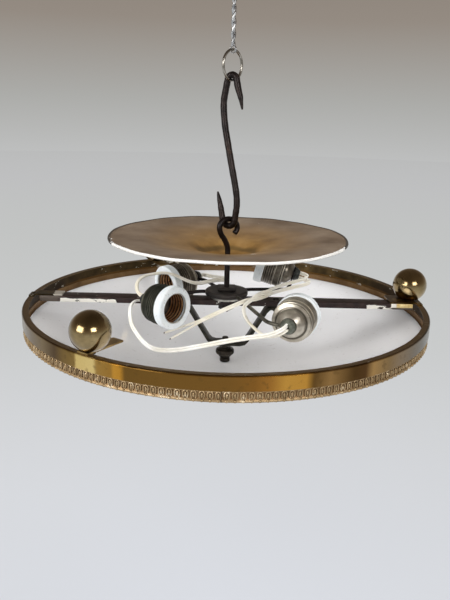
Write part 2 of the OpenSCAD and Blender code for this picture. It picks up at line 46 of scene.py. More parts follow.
# The four lampholders: their corners, their mouths' middles and directions, and where their arms leave the hub
CORNERS = ["front_left", "back_left", "back_right", "front_right"]
HOLDER_PLACE = [Vector((-46, -44, 3)), Vector((-62, 38, 2)), Vector((33, 51, 26.4)), Vector((64.6, -53, 3.5))]
HOLDER_TURN = [radians(a) for a in (-42, 220, 168, 70)]
HOLDER_TILT = [radians(a) for a in (0, -5, 15, 0)]
HUB_TURNS = [radians(a) for a in (175, 118, 30, -60)]


def lamp(place):
    """A point of the lamp, in metres in the shared frame."""
    return Vector((place[0], place[1], place[2] - DROP)) * MM


def set_camera():
    """Camera at the photograph's place, turned and tilted as it was."""
    yaw, pitch, roll = radians(0.564), radians(16.40), radians(1.529)
    ahead = Vector((sin(yaw) * cos(pitch), cos(yaw) * cos(pitch), -sin(pitch)))
    level = ahead.cross(Vector((0, 0, 1))).normalized()
    up = level.cross(ahead)
    side = level * cos(roll) + up * sin(roll)
    top = up * cos(roll) - level * sin(roll)
    data = bpy.data.cameras.new("camera")
    data.sensor_width = 36
    data.lens = 40.43
    data.clip_start = 0.01
    camera = bpy.data.objects.new("camera", data)
    bpy.context.scene.collection.objects.link(camera)
    turned_to = Matrix((side, top, -ahead)).transposed().to_4x4()
    camera.matrix_world = Matrix.Translation(lamp((-7.4, -625.5, 183.4))) @ turned_to
    bpy.context.scene.camera = camera


# Modelling steps that every piece shares

def pick(piece):
    """Select one piece alone, for the operators that follow."""
    bpy.ops.object.select_all(action="DESELECT")
    piece.select_set(True)
    bpy.context.view_layer.objects.active = piece


def apply_all_modifiers(piece):
    pick(piece)
    for modifier in list(piece.modifiers):
        bpy.ops.object.modifier_apply(modifier=modifier.name)


def smooth(points, steps):
    """Smooth curve through all the points."""
    made = []
    for i in range(len(points) - 1):
        a, b = points[max(i - 1, 0)], points[i]
        c, d = points[i + 1], points[min(i + 2, len(points) - 1)]
        for k in range(steps):
            t = k / steps
            made.append(0.5 * (2 * b + (c - a) * t + (2 * a - 5 * b + 4 * c - d) * t ** 2
                               + (3 * b - a - 3 * c + d) * t ** 3))
    return made + [points[-1]]


def eased(points, reach, closed=False):
    """The same profile with its corners rounded over."""
    count = len(points)
    made = []
    for i, p in enumerate(points):
        if not closed and i in (0, count - 1):
            made.append(p)
            continue
        a, b = points[i - 1], points[(i + 1) % count]
        to_a, to_b = (a[0] - p[0], a[1] - p[1]), (b[0] - p[0], b[1] - p[1])
        long_a, long_b = sqrt(to_a[0] ** 2 + to_a[1] ** 2), sqrt(to_b[0] ** 2 + to_b[1] ** 2)
        share_a, share_b = min(reach / long_a, 0.45), min(reach / long_b, 0.45)
        start = (p[0] + to_a[0] * share_a, p[1] + to_a[1] * share_a)
        end = (p[0] + to_b[0] * share_b, p[1] + to_b[1] * share_b)
        middle = ((start[0] + end[0]) / 4 + p[0] / 2, (start[1] + end[1]) / 4 + p[1] / 2)
        made += [start, middle, end]
    return made


def off_axis(point):
    """Distance of a point from the upright axis."""
    return sqrt(point.x ** 2 + point.y ** 2)


def drawn_curve(name, points, closed):
    """A curve of straight steps through points in metres."""
    curve = bpy.data.curves.new(name, "CURVE")
    curve.dimensions = "3D"
    spline = curve.splines.new("POLY")
    spline.points.add(len(points) - 1)
    for point, place in zip(spline.points, points):
        point.co = (*place, 1)
    spline.use_cyclic_u = closed
    piece = bpy.data.objects.new(name, curve)
    bpy.context.scene.collection.objects.link(piece)
    return piece, curve, spline


def made_mesh(piece):
    """Turn a curve into a mesh."""
    pick(piece)
    bpy.ops.object.convert(target="MESH")
    return bpy.context.view_layer.objects.active


def drawn_line(name, points, closed=False):
    """A line of edges through points in metres."""
    return made_mesh(drawn_curve(name, points, closed)[0])


def welded(piece, threshold):
    """Merge points that lie on each other and turn every face outward."""
    bpy.ops.mesh.select_all(action="SELECT")
    bpy.ops.mesh.remove_doubles(threshold=threshold)
    bpy.ops.mesh.normals_make_consistent(inside=False)
    bpy.ops.object.mode_set(mode="OBJECT")
    return piece


def turned(name, profile, closed=False, segments=96):
    """A turned piece: its profile of radius and height is drawn and spun about the upright axis."""
    piece = drawn_line(name, [(r * MM, 0, z * MM) for r, z in profile], closed)
    bpy.ops.object.mode_set(mode="EDIT")
    bpy.ops.mesh.select_all(action="SELECT")
    bpy.ops.mesh.spin(steps=segments, angle=2 * pi, center=(0, 0, 0), axis=(0, 0, 1))
    return welded(piece, 2e-6)


def rod(name, points, radii, sides=5, closed=False):
    """A round rod along points in metres, with one radius in millimetres for each point or for all."""
    piece, curve, spline = drawn_curve(name, points, closed)
    curve.bevel_depth = MM
    curve.bevel_resolution = sides
    curve.use_fill_caps = not closed
    for i, point in enumerate(spline.points):
        point.radius = radii[i] if isinstance(radii, list) else radii
    piece = made_mesh(piece)
    bpy.ops.object.mode_set(mode="EDIT")
    return welded(piece, 1e-6)


def block(name, low, high, bevel):
    """A block between two corners, with its edges bevelled."""
    bpy.ops.object.select_all(action="DESELECT")
    middle = (Vector(low) + Vector(high)) / 2
    bpy.ops.mesh.primitive_cube_add(size=MM, location=middle * MM)
    piece = bpy.context.view_layer.objects.active
    piece.name = name
    piece.scale = Vector(high) - Vector(low)
    bpy.ops.object.transform_apply(location=True, rotation=True, scale=True)
    bpy.ops.object.mode_set(mode="EDIT")
    bpy.ops.mesh.select_all(action="SELECT")
    bpy.ops.mesh.bevel(offset=bevel * MM, segments=3, affect="EDGES")
    bpy.ops.object.mode_set(mode="OBJECT")
    return piece


def joined(name, pieces):
    """Several pieces made one."""
    pick(pieces[0])
    for piece in pieces[1:]:
        piece.select_set(True)
    bpy.ops.object.join()
    pieces[0].name = name
    return pieces[0]


def set_at(piece, place=(0, 0, 0), turn=(0, 0, 0)):
    """Move a piece to its place in the lamp, and keep the move in its mesh."""
    pick(piece)
    piece.rotation_euler = turn
    piece.location = lamp(place)
    bpy.ops.object.transform_apply(location=True, rotation=True, scale=True)
    return piece


def set_on_holder(piece, i):
    """Move a piece that was turned about the upright axis, mouth up, onto its lampholder's axis."""
    return set_at(piece, HOLDER_PLACE[i], (0, radians(90) - HOLDER_TILT[i], HOLDER_TURN[i]))


def knurled(piece, low, high, radius, depth):
    """Press grooves into a turned band, in every second row of its points."""
    pick(piece)
    bpy.ops.object.mode_set(mode="EDIT")
    bpy.ops.mesh.select_all(action="DESELECT")
    bpy.ops.object.mode_set(mode="OBJECT")
    band = [(v, round(atan2(v.co.y, v.co.x), 4)) for v in piece.data.vertices
            if low <= v.co.z / MM <= high and abs(off_axis(v.co) / MM - radius) < 0.1]
    row = {turn: k for k, turn in enumerate(sorted({turn for v, turn in band}))}
    for v, turn in band:
        v.select = row[turn] % 2 == 0
    bpy.ops.object.mode_set(mode="EDIT")
    shrink = (radius - depth) / radius
    bpy.ops.transform.resize(value=(shrink, shrink, 1), center_override=(0, 0, 0))
    bpy.ops.object.mode_set(mode="OBJECT")
    return piece


def noted(piece):
    """Note each point's distance from the turning axis and from the mouth, in millimetres, for its finish."""
    kept = piece.data.attributes.new("profile", "FLOAT_VECTOR", "POINT")
    for v, place in zip(piece.data.vertices, kept.data):
        place.vector = (off_axis(v.co) / MM, -v.co.z / MM, 0)
    return piece


def done(piece, material, body, slot, *nodes, angle=35):
    """Give a piece its material, soft shading and the body it rides on."""
    pick(piece)
    if not piece.data.materials:
        piece.data.materials.append(material)
    bpy.ops.object.shade_smooth_by_angle(angle=radians(angle))
    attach(piece, body)
    if nodes:
        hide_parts(*nodes)
    return piece


def dress(node, material):
    """Give a CAD node its material."""
    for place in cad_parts[node].material_slots:
        place.material = material


# Materials. Places in a finish are in metres of the shared frame. Only what noted() left on a piece, and the
# depth of a relief, are in millimetres.

def rgb(red, green, blue):
    """A colour as a picture's 0 to 255 values give it."""
    return tuple(((c / 255) / 12.92 if c < 10.3 else ((c / 255 + 0.055) / 1.055) ** 2.4)
                 for c in (red, green, blue)) + (1,)


def new_finish(name, metallic=0.0, roughness=0.5, coat=0.0, coat_roughness=0.1):
    """A new material, its node tree and its shader."""
    material = bpy.data.materials.new(name)
    material.use_nodes = True
    shader = material.node_tree.nodes["Principled BSDF"]
    shader.inputs["Metallic"].default_value = metallic
    shader.inputs["Roughness"].default_value = roughness
    shader.inputs["Coat Weight"].default_value = coat
    shader.inputs["Coat Roughness"].default_value = coat_roughness
    return material, material.node_tree, shader


def add(tree, kind, inputs=None, **settings):
    """Add a node; each of its inputs is either linked or given a value."""
    made = tree.nodes.new("ShaderNode" + kind)
    for key, value in settings.items():
        setattr(made, key, value)
    for key, value in (inputs or {}).items():
        if isinstance(value, bpy.types.NodeSocket):
            tree.links.new(value, made.inputs[key])
        else:
            made.inputs[key].default_value = value
    return made


def where(tree):
    """A point's place in the piece's own coordinates, which are the shared frame's."""
    return add(tree, "TexCoord").outputs["Object"]


def grain(tree, scale, detail=3, stretch=(1, 1, 1), rough=0.55):
    """Noise fixed to the piece."""
    placed = add(tree, "Mapping", {"Vector": where(tree), "Scale": stretch})
    return add(tree, "TexNoise", {"Vector": placed.outputs["Vector"], "Scale": scale, "Detail": detail,
                                  "Roughness": rough}).outputs["Fac"]


def worked(tree, operation, a, b=0.0):
    """One sum of one or two numbers."""
    return add(tree, "Math", {0: a, 1: b}, operation=operation).outputs[0]


def times(tree, first, *others):
    for other in others:
        first = worked(tree, "MULTIPLY", first, other)
    return first


def plus(tree, first, *others):
    for other in others:
        first = worked(tree, "ADD", first, other)
    return first


def most(tree, first, *others):
    for other in others:
        first = worked(tree, "MAXIMUM", first, other)
    return first


def across(tree, value, low, high):
    """0 below low, 1 above high, and even in between."""
    return add(tree, "MapRange", {0: value, 1: low, 2: high}).outputs[0]


def between(tree, value, low, high, soft):
    """1 from low to high, and 0 outside."""
    return times(tree, across(tree, value, low - soft, low + soft),
                 across(tree, value, high + soft, high - soft))


def shades(tree, factor, stops):
    """Colour ramp from stops of place and colour."""
    made = add(tree, "ValToRGB", {"Fac": factor})
    ramp = made.color_ramp
    while len(ramp.elements) < len(stops):
        ramp.elements.new(0.5)
    for element, (place, colour) in zip(ramp.elements, stops):
        element.position = place
        element.color = colour
    return made.outputs["Color"]


def over(tree, factor, under, top):
    """One colour laid over another by a factor."""
    return add(tree, "Mix", {0: factor, 6: under, 7: top}, data_type="RGBA").outputs[2]


def colour_in(tree, shader, colour):
    """Set the finish's colour."""
    tree.links.new(colour, shader.inputs["Base Color"])


def rough_in(tree, shader, factor, low, high):
    """Set the finish's roughness, from low to high as the factor grows."""
    made = add(tree, "MapRange", {0: factor, 3: low, 4: high})
    tree.links.new(made.outputs[0], shader.inputs["Roughness"])


def relief(tree, shader, height, strength, depth):
    """Give the finish a fine relief, its depth in millimetres."""
    made = add(tree, "Bump", {"Height": height, "Strength": strength, "Distance": depth * MM})
    tree.links.new(made.outputs["Normal"], shader.inputs["Normal"])


def split(tree, vector):
    """The three parts of a vector."""
    return add(tree, "SeparateXYZ", {"Vector": vector}).outputs


def reach_from_axis(tree):
    """Distance from the lamp's upright axis, in metres, and the place's own three parts."""
    parts = split(tree, where(tree))
    flat = plus(tree, times(tree, parts["X"], parts["X"]), times(tree, parts["Y"], parts["Y"]))
    return worked(tree, "SQRT", flat), parts


def off_middle(tree, parts, low, high):
    """across() for the distance from the lamp's middle along X."""
    return across(tree, worked(tree, "ABSOLUTE", parts["X"]), low, high)


def drift(tree, noise, size):
    """Noise set to spread evenly about 0."""
    return times(tree, worked(tree, "SUBTRACT", noise, 0.5), size)


def make_ring_brass():
    """Brass with bright and dark stretches outside, which are painted reflections, and dull and flaked inside.
    """
    material, tree, shader = new_finish("ring_brass", metallic=1.0)
    reach, parts = reach_from_axis(tree)
    # The bright and dark stretches round the band, pale grey on the left, are painted reflections of the room.
    turn = worked(tree, "ARCTAN2", parts["Y"], parts["X"])
    along = across(tree, plus(tree, turn, drift(tree, grain(tree, 14, 3, (1, 1, 0.5)), 0.10)), -pi, 0)
    left_side = shades(tree, across(tree, along, 0, 0.5),
                       [(0.0, rgb(154, 139, 113)), (0.09, rgb(143, 130, 110)), (0.26, rgb(130, 112, 87)),
                        (0.36, rgb(120, 96, 60)), (0.44, rgb(132, 108, 68)), (0.50, rgb(92, 68, 36)),
                        (0.545, rgb(134, 106, 56)), (0.592, rgb(152, 122, 66)), (0.60, rgb(236, 206, 132)),
                        (0.655, rgb(242, 214, 142)), (0.665, rgb(176, 138, 72)), (0.70, rgb(172, 128, 58)),
                        (0.708, rgb(214, 156, 62)), (0.728, rgb(206, 148, 56)), (0.74, rgb(124, 92, 44)),
                        (1.0, rgb(136, 98, 46))])
    right_side = shades(tree, across(tree, along, 0.5, 1),
                        [(0.0, rgb(136, 98, 46)), (0.06, rgb(150, 104, 46)), (0.10, rgb(176, 122, 54)),
                         (0.145, rgb(214, 160, 72)), (0.20, rgb(212, 156, 68)), (0.22, rgb(112, 82, 42)),
                         (0.26, rgb(164, 126, 76)), (0.33, rgb(88, 62, 30)), (0.37, rgb(96, 66, 34)),
                         (0.40, rgb(186, 146, 90)), (0.46, rgb(150, 120, 76)), (0.50, rgb(150, 126, 96)),
                         (0.60, rgb(116, 100, 78)), (0.70, rgb(79, 69, 48)), (0.82, rgb(126, 114, 94)),
                         (1.0, rgb(130, 116, 90))])
    painted_reflection_bands = over(tree, across(tree, along, 0.4995, 0.5005), left_side, right_side)
    spots = across(tree, grain(tree, 160, 5), 0.58, 0.68)
    outside = over(tree, times(tree, spots, 0.4), painted_reflection_bands, rgb(104, 78, 42))
    patina = shades(tree, grain(tree, 45, 5), [(0.35, rgb(60, 50, 34)), (0.55, rgb(92, 76, 50)),
                                               (0.7, rgb(118, 96, 62))])
    dark_ends = times(tree, off_middle(tree, parts, 0.150, 0.172), 0.6)
    patina = over(tree, dark_ends, patina, rgb(48, 36, 28))
    warm_foot = times(tree, across(tree, parts["Z"], -0.2942, -0.2958),
                      across(tree, parts["Y"], 0.06, 0.10), 0.75)
    patina = over(tree, warm_foot, patina, rgb(132, 96, 52))
    flakes = across(tree, grain(tree, 110, 5, (1, 1, 1.8), 0.6), 0.645, 0.665)
    patina = over(tree, flakes, patina, rgb(206, 200, 186))
    bare_spot = times(tree, between(tree, turn, 1.87, 2.02, 0.02),
                      across(tree, grain(tree, 70, 4), 0.46, 0.49))
    patina = over(tree, bare_spot, patina, rgb(214, 208, 194))
    inside = across(tree, reach, 0.18915, 0.18895)
    lip = times(tree, across(tree, parts["Z"], -0.2856, -0.2852), across(tree, reach, 0.1890, 0.1884), 0.8)
    base = over(tree, inside, outside, patina)
    colour_in(tree, shader, over(tree, lip, base, rgb(150, 128, 98)))
    dullness = plus(tree, times(tree, inside, 0.6), times(tree, grain(tree, 60, 4), 0.4))
    rough_in(tree, shader, dullness, 0.1, 0.6)
    relief(tree, shader, grain(tree, 90, 4, (1, 1, 6)), 0.1, 0.3)
    return material


def make_gallery_brass():
    """Raised brass, lighter as painted highlight, over a darker ground, with the seam in front where the band
    was soldered.
    """
    material, tree, shader = new_finish("gallery_brass", metallic=0.7)
    reach, parts = reach_from_axis(tree)
    # The raised parts are lighter as painted highlight.
    raised_highlit = shades(tree, grain(tree, 150, 4), [(0.35, rgb(152, 128, 92)), (0.58, rgb(180, 154, 116)),
                                                (0.68, rgb(226, 208, 176))])
    ground = shades(tree, grain(tree, 55, 4), [(0.35, rgb(120, 92, 60)), (0.65, rgb(150, 118, 80))])
    body = over(tree, across(tree, reach, 0.1888, 0.1883), raised_highlit, ground)
    body = over(tree, across(tree, reach, 0.1876, 0.1872), body, rgb(126, 92, 54))
    seam = across(tree, worked(tree, "ABSOLUTE", plus(tree, parts["X"], 0.004)), 0.0006, 0.0003)
    seam = times(tree, seam, across(tree, parts["Y"], -0.1, -0.11), 0.8)
    colour_in(tree, shader, over(tree, seam, body, rgb(60, 42, 24)))
    rough_in(tree, shader, grain(tree, 120, 3), 0.34, 0.6)
    relief(tree, shader, grain(tree, 400, 3), 0.15, 0.1)
    return material


def make_aged_brass(name, dark, mid, bright, roughness, scale, lacquer=0.0):
    """Brass gone cloudy, with dark pits."""
    material, tree, shader = new_finish(name, metallic=1.0, coat=lacquer)
    cloud = grain(tree, scale, 5)
    base = shades(tree, cloud, [(0.32, dark), (0.5, mid), (0.68, bright)])
    pits = across(tree, grain(tree, scale * 9, 3), 0.62, 0.7)
    colour_in(tree, shader, over(tree, times(tree, pits, 0.55), base, dark))
    rough_in(tree, shader, cloud, roughness[1], roughness[0])
    relief(tree, shader, grain(tree, scale * 7, 4), 0.06, 0.2)
    return material


def make_ledge_brass():
    """Brass, orange brown at the back and darker and greyer at the sides and in front."""
    material, tree, shader = new_finish("ledge_brass", metallic=0.9)
    cloud = grain(tree, 60, 5)
    warm = shades(tree, cloud, [(0.32, rgb(92, 62, 34)), (0.5, rgb(140, 98, 52)), (0.68, rgb(180, 130, 76))])
    dull = shades(tree, cloud, [(0.32, rgb(48, 39, 30)), (0.5, rgb(76, 63, 49)), (0.68, rgb(108, 92, 72))])
    towards_back = across(tree, split(tree, where(tree))["Y"], 0.04, 0.10)
    colour_in(tree, shader, over(tree, towards_back, dull, warm))
    rough_in(tree, shader, cloud, 0.6, 0.35)
    relief(tree, shader, grain(tree, 420, 4), 0.06, 0.2)
    return material


def make_iron(name, dark, light, rust, rust_from, roughness, metallic):
    """Blackened iron with a bloom of rust."""
    material, tree, shader = new_finish(name, metallic=metallic)
    base = shades(tree, grain(tree, 140, 5), [(0.35, dark), (0.7, light)])
    bloom = across(tree, grain(tree, 60, 6, rough=0.65), rust_from, rust_from + 0.12)
    colour_in(tree, shader, over(tree, times(tree, bloom, 0.7), base, rust))
    rough_in(tree, shader, grain(tree, 220, 3), roughness[0], roughness[1])
    relief(tree, shader, grain(tree, 260, 5), 0.35, 0.35)
    return material


def make_bar_iron():
    """Dark iron with white paint left on both ends of the bar's front, and one bright end."""
    material, tree, shader = new_finish("bar_iron", metallic=0.35)
    parts = split(tree, where(tree))
    base = shades(tree, grain(tree, 90, 5), [(0.35, rgb(30, 20, 19)), (0.6, rgb(50, 36, 33)),
                                             (0.75, rgb(72, 55, 48))])
    flakes = grain(tree, 75, 5, (1, 1, 1.6), 0.62)
    left = times(tree, across(tree, parts["X"], -0.1600, -0.1550), across(tree, parts["X"], -0.102, -0.109))
    right = times(tree, across(tree, parts["X"], 0.1325, 0.1375), across(tree, parts["X"], 0.161, 0.156))
    front = across(tree, parts["Y"], -0.0066, -0.0074)
    painted = times(tree, plus(tree, left, right), front, across(tree, parts["Z"], -0.2846, -0.2858))
    paint = across(tree, plus(tree, flakes, times(tree, painted, 0.29)), 0.655, 0.675)
    grey = plus(tree, across(tree, parts["X"], 0.158, 0.166), across(tree, parts["X"], -0.156, -0.162))
    base = over(tree, times(tree, grey, 0.55), base, rgb(112, 102, 92))
    bright_end = times(tree, across(tree, parts["X"], 0.1578, 0.1586), front,
                       across(tree, parts["Z"], -0.2873, -0.2868))
    brassy = shades(tree, grain(tree, 240, 4), [(0.35, rgb(196, 164, 98)), (0.65, rgb(236, 216, 160))])
    base = over(tree, bright_end, base, brassy)
    white_corner = times(tree, bright_end, across(tree, parts["X"], 0.1640, 0.1625))
    paint = most(tree, times(tree, paint, across(tree, bright_end, 0.6, 0.4)), white_corner)
    colour_in(tree, shader, over(tree, paint, base, rgb(238, 235, 226)))
    rough_in(tree, shader, grain(tree, 200, 3), 0.4, 0.62)
    relief(tree, shader, plus(tree, paint, grain(tree, 260, 4)), 0.4, 0.25)
    return material


def make_old_brass_with_paint():
    """Dull brass straps with flecks of white paint, thickest where the bar ends."""
    material, tree, shader = new_finish("dull_brass", metallic=0.85)
    parts = split(tree, where(tree))
    patch = across(tree, worked(tree, "ABSOLUTE", plus(tree, parts["X"], 0.1600)), 0.0062, 0.0045)
    base = shades(tree, grain(tree, 80, 5), [(0.35, rgb(40, 34, 20)), (0.55, rgb(72, 60, 36)),
                                             (0.72, rgb(118, 96, 58))])
    speckle = plus(tree, grain(tree, 130, 5, rough=0.6), times(tree, patch, 0.26))
    flecks = across(tree, speckle, 0.64, 0.655)
    colour_in(tree, shader, over(tree, flecks, base, rgb(224, 219, 206)))
    rough_in(tree, shader, grain(tree, 160, 3), 0.3, 0.55)
    relief(tree, shader, plus(tree, flecks, grain(tree, 240, 3)), 0.3, 0.2)
    return material


def make_opal_glass():
    """White glass, clean but for fine dust."""
    material, tree, shader = new_finish("opal_glass", roughness=0.16, coat=0.6, coat_roughness=0.05)
    shader.inputs["IOR"].default_value = 1.5
    cloud = shades(tree, grain(tree, 9, 3), [(0.35, rgb(243, 243, 244)), (0.65, rgb(248, 248, 249))])
    dust = across(tree, grain(tree, 240, 4), 0.62, 0.72)
    colour_in(tree, shader, over(tree, times(tree, dust, 0.25), cloud, rgb(178, 172, 164)))
    relief(tree, shader, grain(tree, 7, 2), 0.05, 1.5)
    return material


def make_porcelain():
    """Glazed porcelain with a faint blue cast and small specks."""
    material, tree, shader = new_finish("porcelain", roughness=0.28, coat=0.5, coat_roughness=0.08)
    cloud = shades(tree, grain(tree, 110, 4), [(0.35, rgb(232, 240, 244)), (0.6, rgb(243, 248, 250))])
    specks = across(tree, grain(tree, 620, 3), 0.62, 0.69)
    colour_in(tree, shader, over(tree, times(tree, specks, 0.5), cloud, rgb(176, 176, 170)))
    relief(tree, shader, grain(tree, 300, 3), 0.06, 0.15)
    return material


def make_core_dust_and_shade():
    """Porcelain inside a lampholder, dark brown from dust and from painted shade deep in the holder."""
    material, tree, shader = new_finish("core_dust_and_shade", roughness=0.6)
    # Dark brown: dust, and painted shade deep inside the holder.
    colour_in(tree, shader, shades(tree, grain(tree, 160, 4),
                                   [(0.35, rgb(52, 44, 36)), (0.65, rgb(96, 86, 74))]))
    relief(tree, shader, grain(tree, 300, 3), 0.1, 0.15)
    return material


def make_dish_paint():
    """Taupe paint with a golden brown middle, and the rim's paint chipped down to white."""
    material, tree, shader = new_finish("dish_paint", metallic=0.25, coat=0.15, coat_roughness=0.3)
    reach, parts = reach_from_axis(tree)
    wide = shades(tree, grain(tree, 26, 6, rough=0.6), [(0.32, rgb(100, 82, 64)), (0.55, rgb(124, 106, 87)),
                                                        (0.72, rgb(140, 122, 103))])
    middle = shades(tree, grain(tree, 38, 6, rough=0.62),
                    [(0.32, rgb(116, 84, 40)), (0.55, rgb(150, 114, 60)), (0.72, rgb(168, 132, 80))])
    spread = plus(tree, reach, drift(tree, grain(tree, 18, 3), 0.03))
    base = over(tree, across(tree, spread, 0.086, 0.030), wide, middle)
    mark = times(tree, across(tree, spread, 0.021, 0.024), across(tree, spread, 0.031, 0.027), 0.55)
    base = over(tree, mark, base, rgb(64, 54, 30))
    rim_line = times(tree, across(tree, reach, 0.1092, 0.1100), 0.9)
    base = over(tree, rim_line, base, rgb(50, 47, 44))
    chips = grain(tree, 60, 6, (1, 1, 3), 0.65)
    front = times(tree, across(tree, parts["Y"], -0.01, -0.035), off_middle(tree, parts, 0.107, 0.099))
    shown = times(tree, across(tree, reach, 0.1072, 0.1102), front)
    bare = across(tree, plus(tree, chips, times(tree, shown, 0.42)), 0.70, 0.72)
    colour_in(tree, shader, over(tree, bare, base, rgb(252, 251, 247)))
    rough_in(tree, shader, grain(tree, 70, 4), 0.36, 0.55)
    relief(tree, shader, grain(tree, 50, 5), 0.12, 0.4)
    return material


def make_white_enamel():
    """White enamel under the dish, stained by warmth."""
    material, tree, shader = new_finish("white_enamel", roughness=0.3, coat=0.4)
    stain = shades(tree, grain(tree, 30, 5), [(0.35, rgb(212, 207, 196)), (0.6, rgb(232, 229, 222))])
    colour_in(tree, shader, stain)
    relief(tree, shader, grain(tree, 60, 4), 0.08, 0.3)
    return material


def noted_parts(tree):
    """Each point's distance from its turning axis and from the mouth, as noted() left them."""
    parts = split(tree, add(tree, "Attribute", attribute_name="profile").outputs["Vector"])
    return parts["X"], parts["Y"]


def make_holder_metal(name, dark, mid, bright, rim, oxide_and_groove_shade, roughness):
    """Plated metal, with painted highlights on its rims, a darker knurled band, and painted shade in the
    grooves.
    """
    material, tree, shader = new_finish(name, metallic=0.9)
    stain = grain(tree, 95, 6, rough=0.6)
    base = shades(tree, stain, [(0.34, dark), (0.52, mid), (0.7, bright)])
    reach, depth = noted_parts(tree)
    # Painted highlights on the rims of the bell, shell and cap.
    bell_rim = times(tree, between(tree, depth, 27.1, 28.2, 0.15), across(tree, reach, 16.2, 16.6))
    shell_rim = between(tree, depth, 19.6, 20.3, 0.15)
    cap_rim = times(tree, between(tree, depth, 25.5, 26.1, 0.1), across(tree, reach, 17.3, 17.7))
    base = over(tree, times(tree, plus(tree, bell_rim, shell_rim, cap_rim), 0.7), base, rim)
    # Darker: the knurled band, and painted shade in the crease by the bell, the groove and the shell's ridges.
    band = times(tree, between(tree, depth, 20.4, 25.4, 0.1), 0.45)
    crease = times(tree, between(tree, depth, 27.9, 29.2, 0.2), between(tree, reach, 12.9, 14.6, 0.3))
    groove = times(tree, between(tree, depth, 26.1, 26.9, 0.1), across(tree, reach, 17.4, 17.0))
    ridge = times(tree, between(tree, depth, 9.6, 19.6, 0.2), across(tree, reach, 18.6, 18.35))
    colour_in(tree, shader, over(tree, times(tree, most(tree, band, crease, groove, ridge), 0.85), base,
                                 oxide_and_groove_shade))
    rough_in(tree, shader, grain(tree, 70, 4), roughness[0], roughness[1])
    relief(tree, shader, grain(tree, 500, 3), 0.1, 0.12)
    return material


def make_thread_copper():
    """Copper shell, bright on the thread's crests, and nearly black between them as painted shade."""
    material, tree, shader = new_finish("thread_copper", metallic=0.9)
    reach = noted_parts(tree)[0]
    crest = shades(tree, grain(tree, 120, 5), [(0.35, rgb(150, 104, 68)), (0.65, rgb(222, 178, 134))])
    # Nearly black between the crests: painted shade.
    colour_in(tree, shader, over(tree, across(tree, reach, 13.45, 13.8), crest, rgb(44, 26, 18)))
    rough_in(tree, shader, grain(tree, 200, 3), 0.2, 0.4)
    relief(tree, shader, grain(tree, 400, 3), 0.06, 0.1)
    return material


def make_flex(name, clean, dirty):
    """Plastic cover of the flex, dirtier in patches."""
    material, tree, shader = new_finish(name, roughness=0.42, coat=0.1)
    colour_in(tree, shader, shades(tree, grain(tree, 50, 4), [(0.38, dirty), (0.62, clean)]))
    relief(tree, shader, grain(tree, 900, 2), 0.08, 0.1)
    return material


def make_wire(name, dark, light, roughness):
    """Drawn or stamped steel with fine streaks."""
    material, tree, shader = new_finish(name, metallic=1.0)
    colour_in(tree, shader, shades(tree, grain(tree, 210, 5), [(0.36, dark), (0.66, light)]))
    rough_in(tree, shader, grain(tree, 260, 3), roughness[0], roughness[1])
    relief(tree, shader, grain(tree, 500, 3), 0.15, 0.15)
    return material


def make_rubber(name, dark, light):
    """Old moulded bushes, dusty."""
    material, tree, shader = new_finish(name, roughness=0.45)
    colour_in(tree, shader, shades(tree, grain(tree, 170, 4), [(0.35, dark), (0.65, light)]))
    rough_in(tree, shader, grain(tree, 130, 3), 0.3, 0.55)
    relief(tree, shader, grain(tree, 520, 3), 0.2, 0.15)
    return material


ring_brass = make_ring_brass()
gallery_brass = make_gallery_brass()
ball_brass = make_aged_brass("ball_brass", rgb(124, 104, 66), rgb(160, 138, 94), rgb(190, 168, 124),
                             (0.1, 0.22), 48, lacquer=0.7)
clip_brass = make_aged_brass("clip_brass", rgb(58, 44, 26), rgb(102, 80, 46), rgb(160, 132, 82),
                             (0.25, 0.45), 70)
tab_brass = make_aged_brass("tab_brass", rgb(104, 84, 48), rgb(148, 122, 76), rgb(184, 158, 108),
                            (0.3, 0.5), 70)
contact_brass = make_aged_brass("contact_brass", rgb(150, 116, 62), rgb(198, 164, 104), rgb(226, 198, 148),
                                (0.2, 0.4), 90)
ledge_brass = make_ledge_brass()
dull_brass = make_old_brass_with_paint()
hook_iron = make_iron("hook_iron", rgb(22, 17, 16), rgb(48, 38, 35), rgb(80, 54, 40), 0.63, (0.3, 0.5), 0.6)
stem_iron = make_iron("stem_iron", rgb(18, 14, 14), rgb(42, 33, 31), rgb(66, 46, 36), 0.64, (0.28, 0.48), 0.6)
hub_iron = make_iron("hub_iron", rgb(30, 27, 26), rgb(58, 52, 48), rgb(84, 62, 48), 0.63, (0.35, 0.6), 0.5)
stay_iron = make_iron("stay_iron", rgb(30, 30, 24), rgb(60, 57, 48), rgb(72, 60, 46), 0.64, (0.34, 0.56), 0.6)
arm_iron = make_iron("arm_iron", rgb(66, 64, 56), rgb(108, 104, 94), rgb(84, 72, 58), 0.66, (0.28, 0.46), 0.7)
knob_metal = make_iron("knob_metal", rgb(26, 23, 20), rgb(66, 58, 48), rgb(96, 78, 52), 0.6, (0.22, 0.42),
                       0.7)
bar_iron = make_bar_iron()
opal_glass = make_opal_glass()
porcelain = make_porcelain()
core_dust_and_shade = make_core_dust_and_shade()
dish_paint = make_dish_paint()
white_enamel = make_white_enamel()
